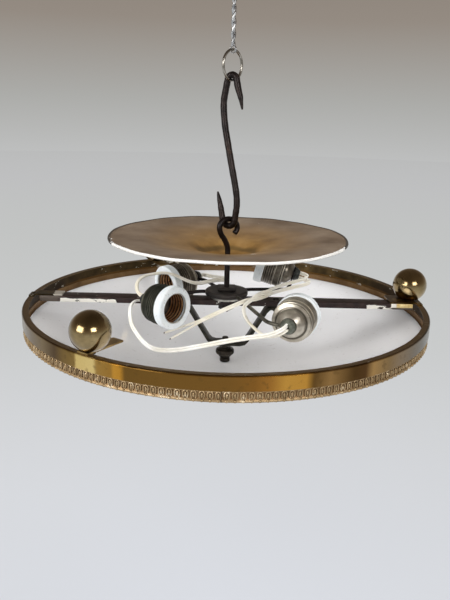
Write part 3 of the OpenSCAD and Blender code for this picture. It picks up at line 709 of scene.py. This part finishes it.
# The fifth colour of each metal is its painted rim highlight, the sixth its darker band and painted groove
# shade.
olive_metal = make_holder_metal("olive_metal", rgb(52, 54, 48), rgb(76, 78, 69), rgb(98, 98, 86),
                                rgb(128, 126, 112), rgb(26, 26, 22), (0.35, 0.55))
nickel_metal = make_holder_metal("nickel_metal", rgb(168, 160, 146), rgb(194, 187, 174), rgb(214, 208, 196),
                                 rgb(190, 182, 166), rgb(58, 52, 42), (0.24, 0.4))
worn_nickel = make_holder_metal("worn_nickel", rgb(100, 94, 84), rgb(132, 125, 113), rgb(170, 162, 150),
                                rgb(200, 192, 178), rgb(42, 38, 32), (0.22, 0.4))
dark_metal = make_holder_metal("dark_metal", rgb(70, 64, 56), rgb(112, 104, 92), rgb(150, 142, 128),
                               rgb(214, 206, 190), rgb(36, 31, 26), (0.26, 0.44))
thread_copper = make_thread_copper()
flex_cream = make_flex("flex_cream", rgb(251, 247, 236), rgb(240, 233, 214))
flex_white = make_flex("flex_white", rgb(249, 248, 243), rgb(236, 232, 220))
bare_copper = make_aged_brass("bare_copper", rgb(56, 32, 26), rgb(104, 64, 50), rgb(160, 108, 86),
                              (0.3, 0.5), 300)
galvanised = make_wire("galvanised", rgb(140, 141, 143), rgb(224, 225, 226), (0.25, 0.45))
bright_steel = make_wire("bright_steel", rgb(128, 122, 112), rgb(196, 192, 184), (0.16, 0.34))
washer_steel = make_wire("washer_steel", rgb(160, 158, 151), rgb(216, 213, 206), (0.35, 0.55))
bush_rubber = make_rubber("bush_rubber", rgb(26, 28, 26), rgb(50, 54, 50))
bush_grey = make_rubber("bush_grey", rgb(66, 70, 62), rgb(104, 108, 96))

# Leads: two cores side by side, on the same routes as the plain tubes

SUPPLY_ROUTE = [(72.1, 42.7, 13.1), (78.6, 41.3, 11.2), (83.8, 40.2, 9.6), (84, 37.4, 8.4), (76.6, 33.6, 6.8),
                (64, 27, 5.4), (46, 9, 5.4), (37, -8, 6.4), (28, -25, 8.6), (17.6, -39, 10.6), (5, -46, 7),
                (-8, -47, 1), (-20, -43, -6.6), (-35, -36, -16.4), (-50, -27, -24.6)]
LINK_C_D_ROUTE = [(73.3, 42.5, 17.9), (79.6, 41.1, 16.4), (82.2, 38.6, 14.8), (76.6, 35.6, 12.4),
                  (64, 29.6, 10.2), (47.6, 10, 10.2), (38.6, -8, 11), (31, -24, 13.2), (23.6, -40, 13),
                  (15.4, -49, 7.4), (17.6, -58, -0.6), (26, -77, -4.6), (33, -91, -5), (40, -98.5, -2.2),
                  (45.5, -99, 0.2), (50.1, -92.8, 1.4)]
LINK_D_A_ROUTE = [(50.1, -92.8, 5.9), (46.5, -100, 5.2), (40, -104, 3), (32, -105, 0.6), (19, -106, -1),
                  (0, -106, -4.6), (-22, -102, -11), (-43, -94, -18), (-61, -82, -22), (-73, -67, -20.8),
                  (-84, -50, -13.4), (-88, -38, -6.6), (-89, -26, -1.4), (-86.5, -16, 0.6), (-82, -12.4, 0.6),
                  (-77.2, -15.9, 0.5)]
LINK_A_B_ROUTE = [(-77.2, -15.9, 5.5), (-82, -12, 6.4), (-85, -8.4, 9.8), (-85.5, -4, 15), (-82, 2, 19),
                  (-74, 8, 21), (-60, 13, 21.5), (-49, 14, 18.5), (-36, 14, 13), (-27, 17, 11),
                  (-19, 22, 11.4), (-10, 26.5, 12), (-2, 29, 11.8), (1, 33, 11.6), (-4, 37, 11.8),
                  (-12, 39.5, 12), (-18, 43.5, 12), (-20, 50, 10.8), (-18.5, 59, 8.4), (-20, 66.5, 6.6),
                  (-24, 69.3, 6.2), (-29.6, 65.2, 5.7)]
# Radius of one core, and its distance from the flex's middle line
CORE_R = 1.06
CORE_APART = 1.0
# The free end: its cores lie apart over the route's last steps, and end in bare copper at these two places
SPLIT_STEPS = 12
SPLIT_AHEAD = 9 * MM
SPLIT_TIPS = [lamp((-57, -21, -28)), lamp((-51, -27, -31.6))]
COPPER_R = 0.55
COPPER_LONG = 2.2 * MM


def two_cores(path, lean, twist):
    """Centre lines of a flex's two cores, side by side and turning slowly along the path."""
    sides = [[], []]
    side = Vector(lean)
    for i, p in enumerate(path):
        ahead = (path[min(i + 1, len(path) - 1)] - path[max(i - 1, 0)]).normalized()
        side = (side - ahead * side.dot(ahead)).normalized()
        turn = twist * i / (len(path) - 1)
        lean_now = side * cos(turn) + ahead.cross(side) * sin(turn)
        sides[0].append(p + lean_now * CORE_APART * MM)
        sides[1].append(p - lean_now * CORE_APART * MM)
    return sides


def lay_lead(name, node, route, twist, material, far_end):
    """Lay a flex along its route; a bare far end is split, with its copper showing."""
    path = smooth([lamp(p) for p in route], 6)
    cores = two_cores(path, (0, 0, 1), twist)
    ends = []
    if far_end == "bare":
        kept = len(path) - SPLIT_STEPS
        path = path[:kept]
        tails, tips = [], []
        for core, tip in zip(cores, SPLIT_TIPS):
            near = core[kept - 1] + (path[-1] - path[-3]).normalized() * SPLIT_AHEAD
            tail = smooth([core[kept - 2], core[kept - 1], near, tip], 8)
            tails.append(rod("tail", tail, CORE_R, 4))
            tips.append(rod("tip", [tail[-2], tip, tip + (tip - near).normalized() * COPPER_LONG], COPPER_R,
                            3))
        cores = [core[:kept] for core in cores]
        ends = [done(joined(name + "_split_ends", tails), material, "lamp", "cream_flex"),
                done(joined(name + "_copper_tips", tips), bare_copper, "lamp", "copper_thread")]
    lead = joined(name, [rod(name + "_core", line, CORE_R, 4) for line in cores])
    done(lead, material, "lamp", "cream_flex", node)


set_camera()
lay_lead("supply_flex", "supply_lead", SUPPLY_ROUTE, 1.1, flex_cream, "bare")
lay_lead("flex_c_to_d", "link_c_d", LINK_C_D_ROUTE, 1.9, flex_cream, "object")
lay_lead("flex_d_to_a", "link_d_a", LINK_D_A_ROUTE, 1.4, flex_white, "object")
lay_lead("flex_a_to_b", "link_a_b", LINK_A_B_ROUTE, 2.4, flex_cream, "object")


# Suspension: twisted wire, steel ring, forged hook and the stem's loop

def upright_loop(radius, height, turn, steps, aside=0):
    """Points round an upright loop in metres, its plane turned from +X."""
    along, square = Vector((cos(turn), sin(turn), 0)), Vector((-sin(turn), cos(turn), 0))
    return [(along * radius * cos(a) + square * aside + Vector((0, 0, height + radius * sin(a)))) * MM
            for a in [2 * pi * k / steps for k in range(steps)]]


def make_twisted_wire():
    """Two strands twisted together, ending in a doubled eye at the top and another at the bottom."""
    strands = []
    low, high, lay, strand_r, steps = -54.9, -7.8, 19.6, 1.14, 160
    for start in (0, pi):
        line = []
        for k in range(steps + 1):
            z = low + (high - low) * k / steps
            turn = start + 2 * pi * (z - low) / lay
            spread = strand_r * min(1, 0.6 + (z - low) / 8, 0.6 + (high - z) / 8)
            line.append(Vector((spread * cos(turn), spread * sin(turn), z)) * MM)
        strands.append(rod("strand", line, strand_r, 3))
    for side in (-0.7, 0.7):
        strands.append(rod("loop", upright_loop(7, 0, 0, 48, side), 0.7, 3, closed=True))
    for side in (-0.5, 0.5):
        strands.append(rod("low_loop", upright_loop(3, -57.65, radians(-40), 32, side), 0.5, 3, closed=True))
    wire = joined("twisted_wire", strands)
    done(wire, galvanised, "hanger", "galvanised_wire", "wire_hanger", angle=60)


def make_steel_ring():
    """The steel ring between the wire's eye and the hook."""
    ring = rod("steel_ring", upright_loop(12.75, -70.75, radians(50), 96), 1.25, 5, closed=True)
    done(ring, bright_steel, "link", "bright_steel", "hanging_ring", angle=60)


def upright_line(side, turn):
    """Points of a line drawn from the side, its plane turned from +X."""
    return [lamp((x * cos(turn), x * sin(turn), z)) for x, z in side]


def make_forged_hook():
    """The S-shaped hook: two round bends, a long back between them and drawn-out tips."""
    top_r, top_z, low_r, low_z, bar_r, steps = 5, 201.2, 7.1, 79.0, 3.1, 8
    side = [(11.6, 177), (9.4, 187), (6.4, 195.5)]
    side += [(top_r * cos(radians(a)), top_z + top_r * sin(radians(a))) for a in range(0, 181, 30)]
    side += [(-6.8, 193), (-8.4, 184), (-8.1, 174), (-6.2, 161), (-3.4, 149), (-0.5, 137), (2.5, 125),
             (5.6, 113), (8.2, 101), (8.8, 92), (8, 85)]
    side += [(low_r * cos(radians(a)), low_z + low_r * sin(radians(a))) for a in range(0, -181, -30)]
    side += [(-8.8, 87), (-11, 95.5), (-13, 102.7)]
    radii = [0.7, 2.4, bar_r] + [bar_r] * (len(side) - 6) + [2.9, 2.2, 0.7]
    line = smooth(upright_line(side, radians(-35)), steps)
    forged = []
    for i in range(len(line)):
        k, t = divmod(i, steps)
        radius = radii[k] * (1 - t / steps) + radii[min(k + 1, len(radii) - 1)] * t / steps
        forged.append(radius * (0.97 + 0.03 * sin(i * 0.9) * sin(i * 0.23)))
    done(rod("forged_hook", line, forged, 7), hook_iron, "hook", "wrought_iron", "s_hook", angle=60)


def make_stem():
    """The straight rod and, above the reflector, its bend and its loop."""
    rod_r = 2.6
    side = [(0, 46), (0, 49), (-0.6, 52.5), (-3.6, 58.6), (-7.8, 64.2), (-9.9, 70), (-9, 74.5), (-5.6, 77.5),
            (0, 78.3), (5.4, 77), (9.4, 73), (10.3, 68), (7.2, 63.8)]
    line = [lamp((0, 0, z)) for z in (-12, -11.4, 0, 12, 24, 36)] + smooth(upright_line(side, radians(35)), 7)
    radii = [2.1] + [rod_r] * (len(line) - 3) + [2.5, 1.9]
    done(rod("hooked_stem", line, radii, 6), stem_iron, "lamp", "stem_iron", "stem", angle=60)


make_twisted_wire()
make_steel_ring()
make_forged_hook()
make_stem()


# Hub, bar and stay

def make_hub():
    """The bar and what is clamped on it by the stem: washer, hub disc and two nuts."""
    hole_r, washer_z, disc_z, nut_z = 2.7, 1.5, 4.1, 10.1
    nut = block("square_nut", (-8.5, -8.5, nut_z), (8.5, 8.5, 13.1), 0.8)
    done(set_at(nut), hub_iron, "lamp", "hub_iron", "hub_nut")
    disc = turned("hub_plate", eased([(hole_r, disc_z), (17, disc_z), (20.5, 5.6), (20.5, 8.8), (19.4, nut_z),
                                      (hole_r, nut_z)], 0.6, True), True, 72)
    done(set_at(disc), hub_iron, "lamp", "hub_iron", "hub_disc")
    washer = turned("wide_washer", eased([(hole_r, washer_z), (14.6, washer_z), (14.6, disc_z),
                                          (hole_r, disc_z)], 0.5, True), True, 64)
    done(set_at(washer), washer_steel, "lamp", "washer_steel", "hub_washer")
    nut = turned("low_nut", eased([(hole_r, -9.5), (6.4, -9.5), (7.5, -8.9), (7.5, -4), (hole_r, -4)], 0.2,
                                  True), True, 6)
    done(set_at(nut), stem_iron, "lamp", "stem_iron", "bar_nut", angle=25)
    bar = block("iron_bar", (-178, -8, -4), (179, 8, 1.5), 0.7)
    done(set_at(bar), bar_iron, "lamp", "bar_iron", "cross_bar")


def make_stay():
    """The bent strap under the bar, and the two screws that hold it."""
    top_z, foot_z, width, thickness = -5.5, -43.8, 16, 3
    path = [(-52, top_z), (-37, top_z), (-14, foot_z), (19, foot_z), (41, top_z), (55, top_z)]
    strap = drawn_line("glass_stay_strap", [Vector((x, -width / 2, z)) * MM for x, z in eased(path, 5)])
    bpy.ops.object.mode_set(mode="EDIT")
    bpy.ops.mesh.select_all(action="SELECT")
    bpy.ops.mesh.extrude_edges_move(TRANSFORM_OT_translate={"value": (0, width * MM, 0)})
    bpy.ops.mesh.select_all(action="SELECT")
    bpy.ops.mesh.normals_make_consistent(inside=False)
    bpy.ops.object.mode_set(mode="OBJECT")
    thick = strap.modifiers.new("thickness", "SOLIDIFY")
    thick.thickness = thickness * MM
    thick.offset = 0
    thick.use_even_offset = True
    soft = strap.modifiers.new("edges", "BEVEL")
    soft.width = 0.6 * MM
    soft.segments = 2
    soft.angle_limit = radians(50)
    apply_all_modifiers(strap)
    done(set_at(strap), stay_iron, "lamp", "bar_iron", "glass_stay")
    screws = []
    for x in (-45, 48):
        head = turned("head", [(0, 2.9), (1.6, 2.8), (2.6, 2.5), (3.2, 1.9), (3.2, 1.5), (0, 1.5)],
                      segments=32)
        nut = turned("nut", [(0, -10), (3.2, -10), (3.8, -9.6), (3.8, -7), (0, -7)], segments=6)
        end = turned("end", [(0, -11), (1.6, -11), (2, -10.6), (2, -9.7), (0, -9.7)], segments=24)
        screws += [set_at(part, (x, 0, 0)) for part in (head, nut, end)]
    done(joined("stay_screw_heads", screws), stem_iron, "lamp", "stem_iron", "stay_screws", angle=25)


def make_thumb_screw():
    """The screw in the strap's foot, with its two knurled edges, and the pad under it."""
    profile = eased([(0, -38), (2.4, -38), (3, -38.6), (3, -49), (5.6, -49), (6.2, -50.2), (8.4, -50.6),
                     (9, -51.6), (9, -54.4), (8.2, -55.6), (6.2, -56), (6, -58), (3, -58.8), (2, -59),
                     (2, -62), (0, -62)], 0.35)
    knob = turned("thumb_knob", profile, segments=72)
    knurled(knob, -54.6, -51.4, 9, 0.45)
    knurled(knob, -57.7, -56.2, 6.05, 0.4)
    done(set_at(knob), knob_metal, "knob", "gallery_brass", "thumb_screw", angle=25)
    pad = turned("pressure_pad", eased([(2.06, -62.2), (2.06, -59.2), (4.2, -59.2), (5, -60), (5, -63),
                                        (4.4, -63.6), (0, -63.6), (0, -62.2)], 0.3), segments=48)
    done(set_at(pad), knob_metal, "pad", "gallery_brass", "thumb_pad")


make_hub()
make_stay()
make_thumb_screw()


# Brass ring with its ornamented gallery, ball knobs and rivets

TAB_TURNS = {"ball_left": radians(235), "ball_back": radians(118)}


def make_gallery():
    """The band's wall, with one hooped arch, its seed and its bead modelled once and copied all round."""
    wall = turned("gallery_wall", [(189.35, -12), (189.3, -12.7), (188.4, -13.1), (188.1, -14),
                                   (188.0, -18.4), (188.6, -19.2), (188.9, -20.2), (188.5, -21.1),
                                   (187.8, -21.4), (186.7, -21.4), (186.9, -19), (187.9, -16.5),
                                   (187.9, -12)], True, 240)
    count, arch_r, arch_z = 200, 1.95, -14.9
    bow = [(arch_r * cos(pi * k / 6), arch_z + arch_r * sin(pi * k / 6)) for k in range(7)]
    arch = [(1.3, -18.6), (1.85, -16.6)] + bow + [(-1.85, -16.6), (-1.3, -18.6)]
    parts = [rod("hoop", [Vector((188.55, y, z)) * MM for y, z in arch], 0.55, 1)]
    seed, foot_bead = ((188.45, 0, -16.2), (0.75, 1.0, 2.1)), ((188.6, 0, -20.0), (1.15, 1.35, 1.3))
    for place, size in (seed, foot_bead):
        bpy.ops.object.select_all(action="DESELECT")
        bpy.ops.mesh.primitive_uv_sphere_add(segments=10, ring_count=6, radius=MM,
                                             location=Vector(place) * MM)
        bead = bpy.context.view_layer.objects.active
        bead.scale = size
        bpy.ops.object.transform_apply(location=True, rotation=True, scale=True)
        parts.append(bead)
    unit = joined("gallery_relief", parts)
    bpy.ops.object.mode_set(mode="EDIT")
    bpy.ops.mesh.select_all(action="SELECT")
    bpy.ops.mesh.spin(steps=count - 1, dupli=True, angle=2 * pi * (count - 1) / count, center=(0, 0, 0),
                      axis=(0, 0, 1))
    bpy.ops.object.mode_set(mode="OBJECT")
    gallery = joined("ornamented_gallery", [wall, unit])
    done(set_at(gallery), gallery_brass, "lamp", "gallery_brass", "gallery_band", angle=40)


def in_plan(reach, turn, aside=0):
    """X and Y of a point at a distance from the upright axis, and aside of the line that leads there."""
    return reach * cos(turn) - aside * sin(turn), reach * sin(turn) + aside * cos(turn)


def make_balls():
    """Brass balls, each cut flat where it sits on the bar's clip or on its tab."""
    radius, middle_z, steps = 16.2, 15.9, 30
    places = {"ball_right": (179.244, 11.3, 3.0)}
    places.update({name: (*in_plan(179.6, turn), 1.5) for name, turn in TAB_TURNS.items()})
    for name, (x, y, seat) in places.items():
        low = seat - middle_z
        start = atan2(low, sqrt(radius ** 2 - low ** 2))
        profile = [(0, low), (radius * cos(start) - 0.4, low)]
        profile += [(radius * cos(start + (pi / 2 - start) * k / steps),
                     radius * sin(start + (pi / 2 - start) * k / steps)) for k in range(steps)]
        knob = turned(name.replace("ball", "brass_ball"), profile + [(0, radius)], segments=64)
        done(set_at(knob, (x, y, middle_z)), ball_brass, "lamp", "aged_brass", name, angle=50)


def make_rivets():
    """Rivets through the ring's lip, flush under the balls' tabs and with heads on the bar's clips."""
    circle_r, flush, proud = 186.8, 1.5, 1.9
    spots = [(turn, aside, flush) for turn in TAB_TURNS.values() for aside in (-4, 4)]
    spots += [(pi, -4, proud), (pi, 4, proud), (0, -4, proud), (0, 16, proud)]
    heads = []
    for turn, aside, top in spots:
        profile = [(0, -1.9), (1.1, -1.88), (1.6, -1.6), (1.6, -1.5), (1, -1.5), (1, 1.5)]
        profile += [(1.6, 1.5), (1.6, 1.6), (1.1, 1.88)] if top == proud else []
        head = turned("rivet", profile + [(0, top)], segments=20)
        heads.append(set_at(head, (*in_plan(sqrt(circle_r ** 2 - aside ** 2), turn, aside), 0)))
    done(joined("rivet_heads", heads), dull_brass, "lamp", "gallery_brass", "ring_rivets")


def make_glass():
    """The bowl, a shallow part of a sphere with a ground rim that rests on the ledge."""
    sphere_r, thickness, low_z, steps = 386.5, 3.5, 64, 56

    def wall(radius, wide):
        reaches = [wide * k / steps for k in range(steps + 1)]
        return [(reach, sphere_r - low_z - sqrt(radius ** 2 - reach ** 2)) for reach in reaches]

    rim = [(186, -17.1), (186.7, -17.8), (186.7, -19.6), (186.2, -20), (182.8, -20)]
    outside = wall(sphere_r + thickness, 182.5)
    bowl = turned("opal_bowl", wall(sphere_r, 184.6) + rim + outside[::-1], segments=160)
    done(set_at(bowl), opal_glass, "lamp", "opal_glass", "glass_bowl", angle=40)


make_gallery()
make_balls()
make_rivets()
make_glass()


# Reflector

def make_reflector():
    """The pressed dish with its rolled rim, a little warped, and the ferrule and collar that it sits on."""
    hole_r, ferrule_z, collar_z = 2.66, 38, 35
    sheet = 1.2
    under = smooth([Vector((r, z)) for r, z in [(5.05, 39.5), (12, 39.5), (17, 40.7), (24, 44.1), (30, 47.7),
                                               (34, 50.1)]], 4)
    crease_r, crease_z, rim_r, rim_z, bead_r = 37, 51.5, 110.7, 61.5, 1.3
    rise = rim_z - crease_z - 0.6
    under += [Vector((crease_r + (rim_r - sheet - crease_r) * k / 28, crease_z + rise * sin(pi / 2 * k / 29)))
              for k in range(29)]
    bead = [Vector((rim_r + bead_r * cos(radians(a)), rim_z + bead_r * sin(radians(a))))
            for a in range(-120, 151, 30)]
    top = [p + Vector((0, sheet)) for p in reversed(under)]
    dish = turned("reflector_dish", [tuple(p) for p in under + bead + top], True, 144)
    pick(dish)
    for v in dish.data.vertices:
        reach = off_axis(v.co) / MM
        turn = atan2(v.co.y, v.co.x)
        sag = max(0, (reach - 45) / 67) ** 2
        v.co.z += sag * (0.35 * sin(3 * turn + 0.6) + 0.25 * sin(7 * turn) + 0.12 * sin(17 * turn + 1)) * MM
    dish.data.materials.append(dish_paint)
    dish.data.materials.append(white_enamel)
    for face in dish.data.polygons:
        face.material_index = 1 if face.normal.z < -0.3 else 0
    done(set_at(dish), dish_paint, "dish", "reflector_enamel", "reflector", angle=40)
    ferrule = turned("seat_ferrule", eased([(hole_r, ferrule_z), (10, ferrule_z), (10, 39.45), (5, 39.5),
                                            (5, 42.4), (hole_r, 42.4)], 0.35, True), True, 64)
    done(set_at(ferrule), ledge_brass, "ferrule", "dark_brass", "reflector_ferrule")
    collar = turned("stop_collar", eased([(hole_r, collar_z), (5.4, collar_z), (6, 35.6), (6, ferrule_z),
                                          (hole_r, ferrule_z)], 0.35, True), True, 64)
    done(set_at(collar), stem_iron, "lamp", "stem_iron", "reflector_collar")


make_reflector()


# Lampholders, each on its own bent arm

def mouth(turn, tilt):
    """Direction that a lampholder's mouth faces."""
    return Vector((cos(turn) * cos(tilt), sin(turn) * cos(tilt), sin(tilt)))


def rounded(points, reach):
    """The bent line with each corner rounded over."""
    made = [points[0]]
    for before, p, behind in zip(points, points[1:], points[2:]):
        start, end = p + (before - p).normalized() * reach, p + (behind - p).normalized() * reach
        made += [start * (1 - t) ** 2 + p * 2 * t * (1 - t) + end * t ** 2 for t in [k / 8 for k in range(9)]]
    return made + [points[-1]]


def make_arm(i):
    """The bent arm, with its end flattened into an eyelet between the lampholder's cap and its bush."""
    name, turn, tilt = CORNERS[i], HOLDER_TURN[i], HOLDER_TILT[i]
    low, high, eye_r, half_wide = -38.5, -37, 3.95, 1.36
    out = Vector((cos(HUB_TURNS[i]), sin(HUB_TURNS[i]), 0))
    start, eye = Vector((0, 0, 7.1)), HOLDER_PLACE[i] - mouth(turn, tilt) * 37.75
    if name == "back_right":
        along = Vector((cos(turn) * sin(tilt), sin(turn) * sin(tilt), -cos(tilt)))
        lift = Vector((0, 0, 0))
        tongue = block("tongue", (5, -half_wide, low), (10.2, half_wide, high), 0.3)
    else:
        along = Vector((-sin(turn), cos(turn), 0))
        lift = Vector((0, 0, 0.8))
        tongue = block("tongue", (-half_wide, 5, low), (half_wide, 10.2, high), 0.3)
    line = rounded([start + out * 12.5, start + out * 24.5, eye + along * 18 + lift, eye + along * 9.2], 6)
    arm = rod("arm", [lamp(p) for p in line], 1.7, 5)
    eyelet = turned("eyelet", eased([(eye_r, low), (7.2, low), (7.2, high), (eye_r, high)], 0.3, True),
                    True, 40)
    flat = set_on_holder(joined("flattened_end", [eyelet, tongue]), i)
    iron = arm_iron if name == "front_right" else stem_iron
    done(joined("bent_arm_" + name, [arm, flat]), iron, "lamp", "stem_iron", "arm_" + name)


def make_holder(i, metal, bush_finish):
    """One lampholder's cap, ridged shell, shade ring and core; its bush is joined to the others later."""
    name = CORNERS[i]
    cap = turned("bell_cap_" + name, eased([(16.55, -20), (18, -20), (18, -26), (16.6, -26.2),
                                            (16.6, -26.8), (17, -27), (17, -28.2), (12.8, -28.9),
                                            (12.5, -31), (11.1, -33.4), (8.9, -35.4), (6.9, -37),
                                            (3.95, -37), (3.95, -35.8), (6.4, -35.8), (7.9, -34.2),
                                            (9.9, -32.6), (11.2, -30.6), (11.3, -28), (13.9, -27.5),
                                            (14.5, -24.6), (16.55, -22.4)], 0.35, True), True, 216)
    knurled(cap, -25.8, -20.2, 18, 0.3)
    done(set_on_holder(noted(cap), i), metal, "lamp", "holder_metal", "cap_" + name, angle=30)
    crest_r, groove_r, ridge_count, ridge_pitch = 18.7, 18.2, 4, 2.3
    ridges = [(crest_r, -9.4)]
    for k in range(ridge_count):
        z = -10.2 - ridge_pitch * k
        ridges += [(crest_r, z), (groove_r, z - 0.7), (groove_r, z - 1.1), (crest_r, z - 1.8)]
    shell = turned("band_shell_" + name, [(15.5, -8.7), (15.8, -8.5), (18.1, -8.5)] + ridges
                   + [(crest_r, -19.7), (18.4, -20), (16.5, -20), (16.5, -21.8), (16.2, -22), (15.5, -22)],
                   True, 96)
    done(set_on_holder(noted(shell), i), metal, "lamp", "holder_metal", "shell_" + name)
    shade = turned("shade_ring_body_" + name, eased([(14.25, 0), (19, 0), (20, -1.1), (20, -7.6),
                                                     (19.4, -8.5), (14.25, -8.5)], 0.45, True), True, 240)
    knurled(shade, -7.4, -1.2, 20, 0.3)
    done(set_on_holder(shade, i), porcelain, "lamp", "porcelain", "shade_ring_" + name, angle=30)
    core = turned("socket_core_" + name, eased([(14.8, -9), (15.3, -9), (15.3, -22.8), (14.3, -24.4),
                                                (13.5, -27.2), (0, -27.2), (0, -24.4), (14.3, -24.4),
                                                (14.8, -22)], 0.2) + [(14.8, -9)], segments=64)
    # The core's dark brown is dust and painted shade.
    done(set_on_holder(core, i), core_dust_and_shade, "lamp", "porcelain", "core_" + name)
    bush = turned("bush", eased([(2.2, -37.2), (3.9, -37.2), (3.9, -38.5), (6.3, -38.5), (6.5, -39),
                                 (6.5, -40.6), (5.6, -41.2), (5.4, -42.6), (4.6, -43.8), (2.2, -44)], 0.4,
                                True), True, 48)
    bush.data.materials.append(bush_finish)
    return set_on_holder(bush, i)


def make_thread(i):
    """The threaded shell inside a lampholder, with its thin lip at the mouth."""
    pitch, middle_r, depth, steps = 20.5 / 6, 13.68, 0.4, 10
    wave = [(middle_r + depth * cos(2 * pi * k / steps), 0, pitch * k / steps) for k in range(steps + 1)]
    coil = drawn_line("thread", [Vector(p) * MM for p in wave])
    turns = coil.modifiers.new("turns", "SCREW")
    turns.screw_offset = pitch * MM
    turns.iterations = 5
    turns.steps = 48
    turns.render_steps = 48
    turns.use_merge_vertices = True
    turns.merge_threshold = 1e-6
    wall = coil.modifiers.new("wall", "SOLIDIFY")
    wall.thickness = 0.25 * MM
    wall.offset = 0
    apply_all_modifiers(coil)
    coil.location = (0, 0, -22 * MM)
    bpy.ops.object.transform_apply(location=True, rotation=True, scale=True)
    noted(coil)
    coil.data.materials.append(thread_copper)
    lip = turned("thread_lip", [(13.3, -0.8), (14.2, -0.8), (14.2, -1.7), (13.3, -1.7)], True, 64)
    lip.data.materials.append(washer_steel)
    return set_on_holder(joined("thread", [coil, lip]), i)


def make_contact(i):
    """The button in the middle of a lampholder that the lamp's tip presses on."""
    button = turned("button", eased([(0, -22.4), (1.6, -22.4), (3, -23), (3, -24.4), (0, -24.4)], 0.4),
                    segments=32)
    return set_on_holder(button, i)


metals = (olive_metal, dark_metal, worn_nickel, nickel_metal)
bush_finishes = (bush_rubber, bush_rubber, bush_rubber, bush_grey)
bushes, threads, contacts = [], [], []
for holder in range(4):
    make_arm(holder)
    bushes.append(make_holder(holder, metals[holder], bush_finishes[holder]))
    threads.append(make_thread(holder))
    contacts.append(make_contact(holder))
done(joined("lead_bushes", bushes), bush_rubber, "lamp", "black_bush", "holder_bushes")
done(joined("inner_threads", threads), thread_copper, "lamp", "copper_thread", "screw_shells", angle=60)
done(joined("contact_buttons", contacts), contact_brass, "lamp", "gallery_brass", "centre_contacts")

for node, material in {"ring_band": ring_brass, "glass_ledge": ledge_brass, "bar_clip_left": dull_brass,
                       "bar_clip_right": clip_brass, "ball_tab_left": tab_brass, "ball_tab_back": tab_brass,
                       "ball_screws": stem_iron}.items():
    dress(node, material)


# Floor, light and what the metal sees around it

def seen_directly(tree):
    """1 for what the camera sees, also in metal and through glass."""
    rays = add(tree, "LightPath").outputs
    return most(tree, rays["Is Camera Ray"], rays["Is Glossy Ray"], rays["Is Transmission Ray"])


def make_stage():
    """A wide pale floor below the lamp, a little darker far away."""
    wide, floor_z = 9, -0.80
    bpy.ops.object.select_all(action="DESELECT")
    bpy.ops.mesh.primitive_circle_add(vertices=96, radius=wide, fill_type="NGON", location=(0, 0, floor_z))
    floor = bpy.context.view_layer.objects.active
    floor.name = "floor"
    material, tree, shader = new_finish("pale_floor", roughness=0.9)
    reach, parts = reach_from_axis(tree)
    pale = shades(tree, across(tree, reach, 0.2, wide), [
        (0.0, rgb(214, 217, 223)), (0.07, rgb(211, 213, 216)), (0.14, rgb(206, 208, 208)),
        (0.31, rgb(203, 205, 204)), (0.62, rgb(200, 201, 202)), (1.0, rgb(196, 197, 197))])
    colour_in(tree, shader, pale)
    glow = add(tree, "Emission", {"Color": pale, "Strength": 1.0}).outputs[0]
    share = times(tree, seen_directly(tree), 0.75)
    laid = add(tree, "MixShader", {0: share, 1: shader.outputs[0], 2: glow}).outputs[0]
    tree.links.new(laid, tree.nodes["Material Output"].inputs["Surface"])
    floor.data.materials.append(material)


def make_world():
    """The room: what the camera and the metal see of it, and the softer light that it gives."""
    world = bpy.data.worlds.new("room")
    bpy.context.scene.world = world
    world.use_nodes = True
    tree = world.node_tree
    tree.nodes.clear()
    towards = split(tree, add(tree, "TexCoord").outputs["Generated"])
    seen = shades(tree, across(tree, towards["Z"], -0.08, 1), [
        (0.0, rgb(191, 192, 192)), (0.076, rgb(172, 172, 169)), (0.174, rgb(148, 139, 130)),
        (0.45, rgb(108, 96, 84)), (1.0, rgb(84, 74, 64))])
    lit = shades(tree, across(tree, towards["Y"], -1.0, 0.6), [
        (0.0, (0.34, 0.30, 0.26, 1)), (0.35, (0.50, 0.47, 0.44, 1)), (0.62, (0.86, 0.86, 0.87, 1)),
        (1.0, (0.92, 0.92, 0.94, 1))])
    shown = add(tree, "Background", {"Color": seen, "Strength": 1.0}).outputs[0]
    lighting = add(tree, "Background", {"Color": lit, "Strength": 0.8}).outputs[0]
    mixed = add(tree, "MixShader", {0: seen_directly(tree), 1: lighting, 2: shown}).outputs[0]
    tree.links.new(mixed, add(tree, "OutputWorld").inputs["Surface"])


# Each lamp's place and size in metres, and its power in watts
LAMPS = {"window": ((-1.2, -1.1, 0.26), 0.98, 14), "second_window": ((0.66, -1.45, 0.36), 0.72, 9),
         "ceiling_bounce": ((-0.3, -1.1, 1.1), 1.3, 7), "high_side": ((0.9, -0.2, 0.9), 0.7, 7),
         "left_side": ((-1.3, 0.3, 0.5), 0.7, 6)}
AIM = Vector((0, 0, -0.27))


def make_lamps():
    """Soft lamps round the object; only the two windows show in the metal."""
    for name, (place, size, power) in LAMPS.items():
        data = bpy.data.lights.new(name, "AREA")
        data.shape = "RECTANGLE"
        data.size = size
        data.size_y = size * 0.7
        data.energy = power
        light = bpy.data.objects.new(name, data)
        bpy.context.scene.collection.objects.link(light)
        light.location = place
        light.rotation_euler = (AIM - Vector(place)).to_track_quat("-Z", "Y").to_euler()
        light.visible_camera = False
        light.visible_glossy = name.endswith("window")


make_stage()
make_world()
make_lamps()
bpy.context.scene.view_settings.view_transform = "Standard"
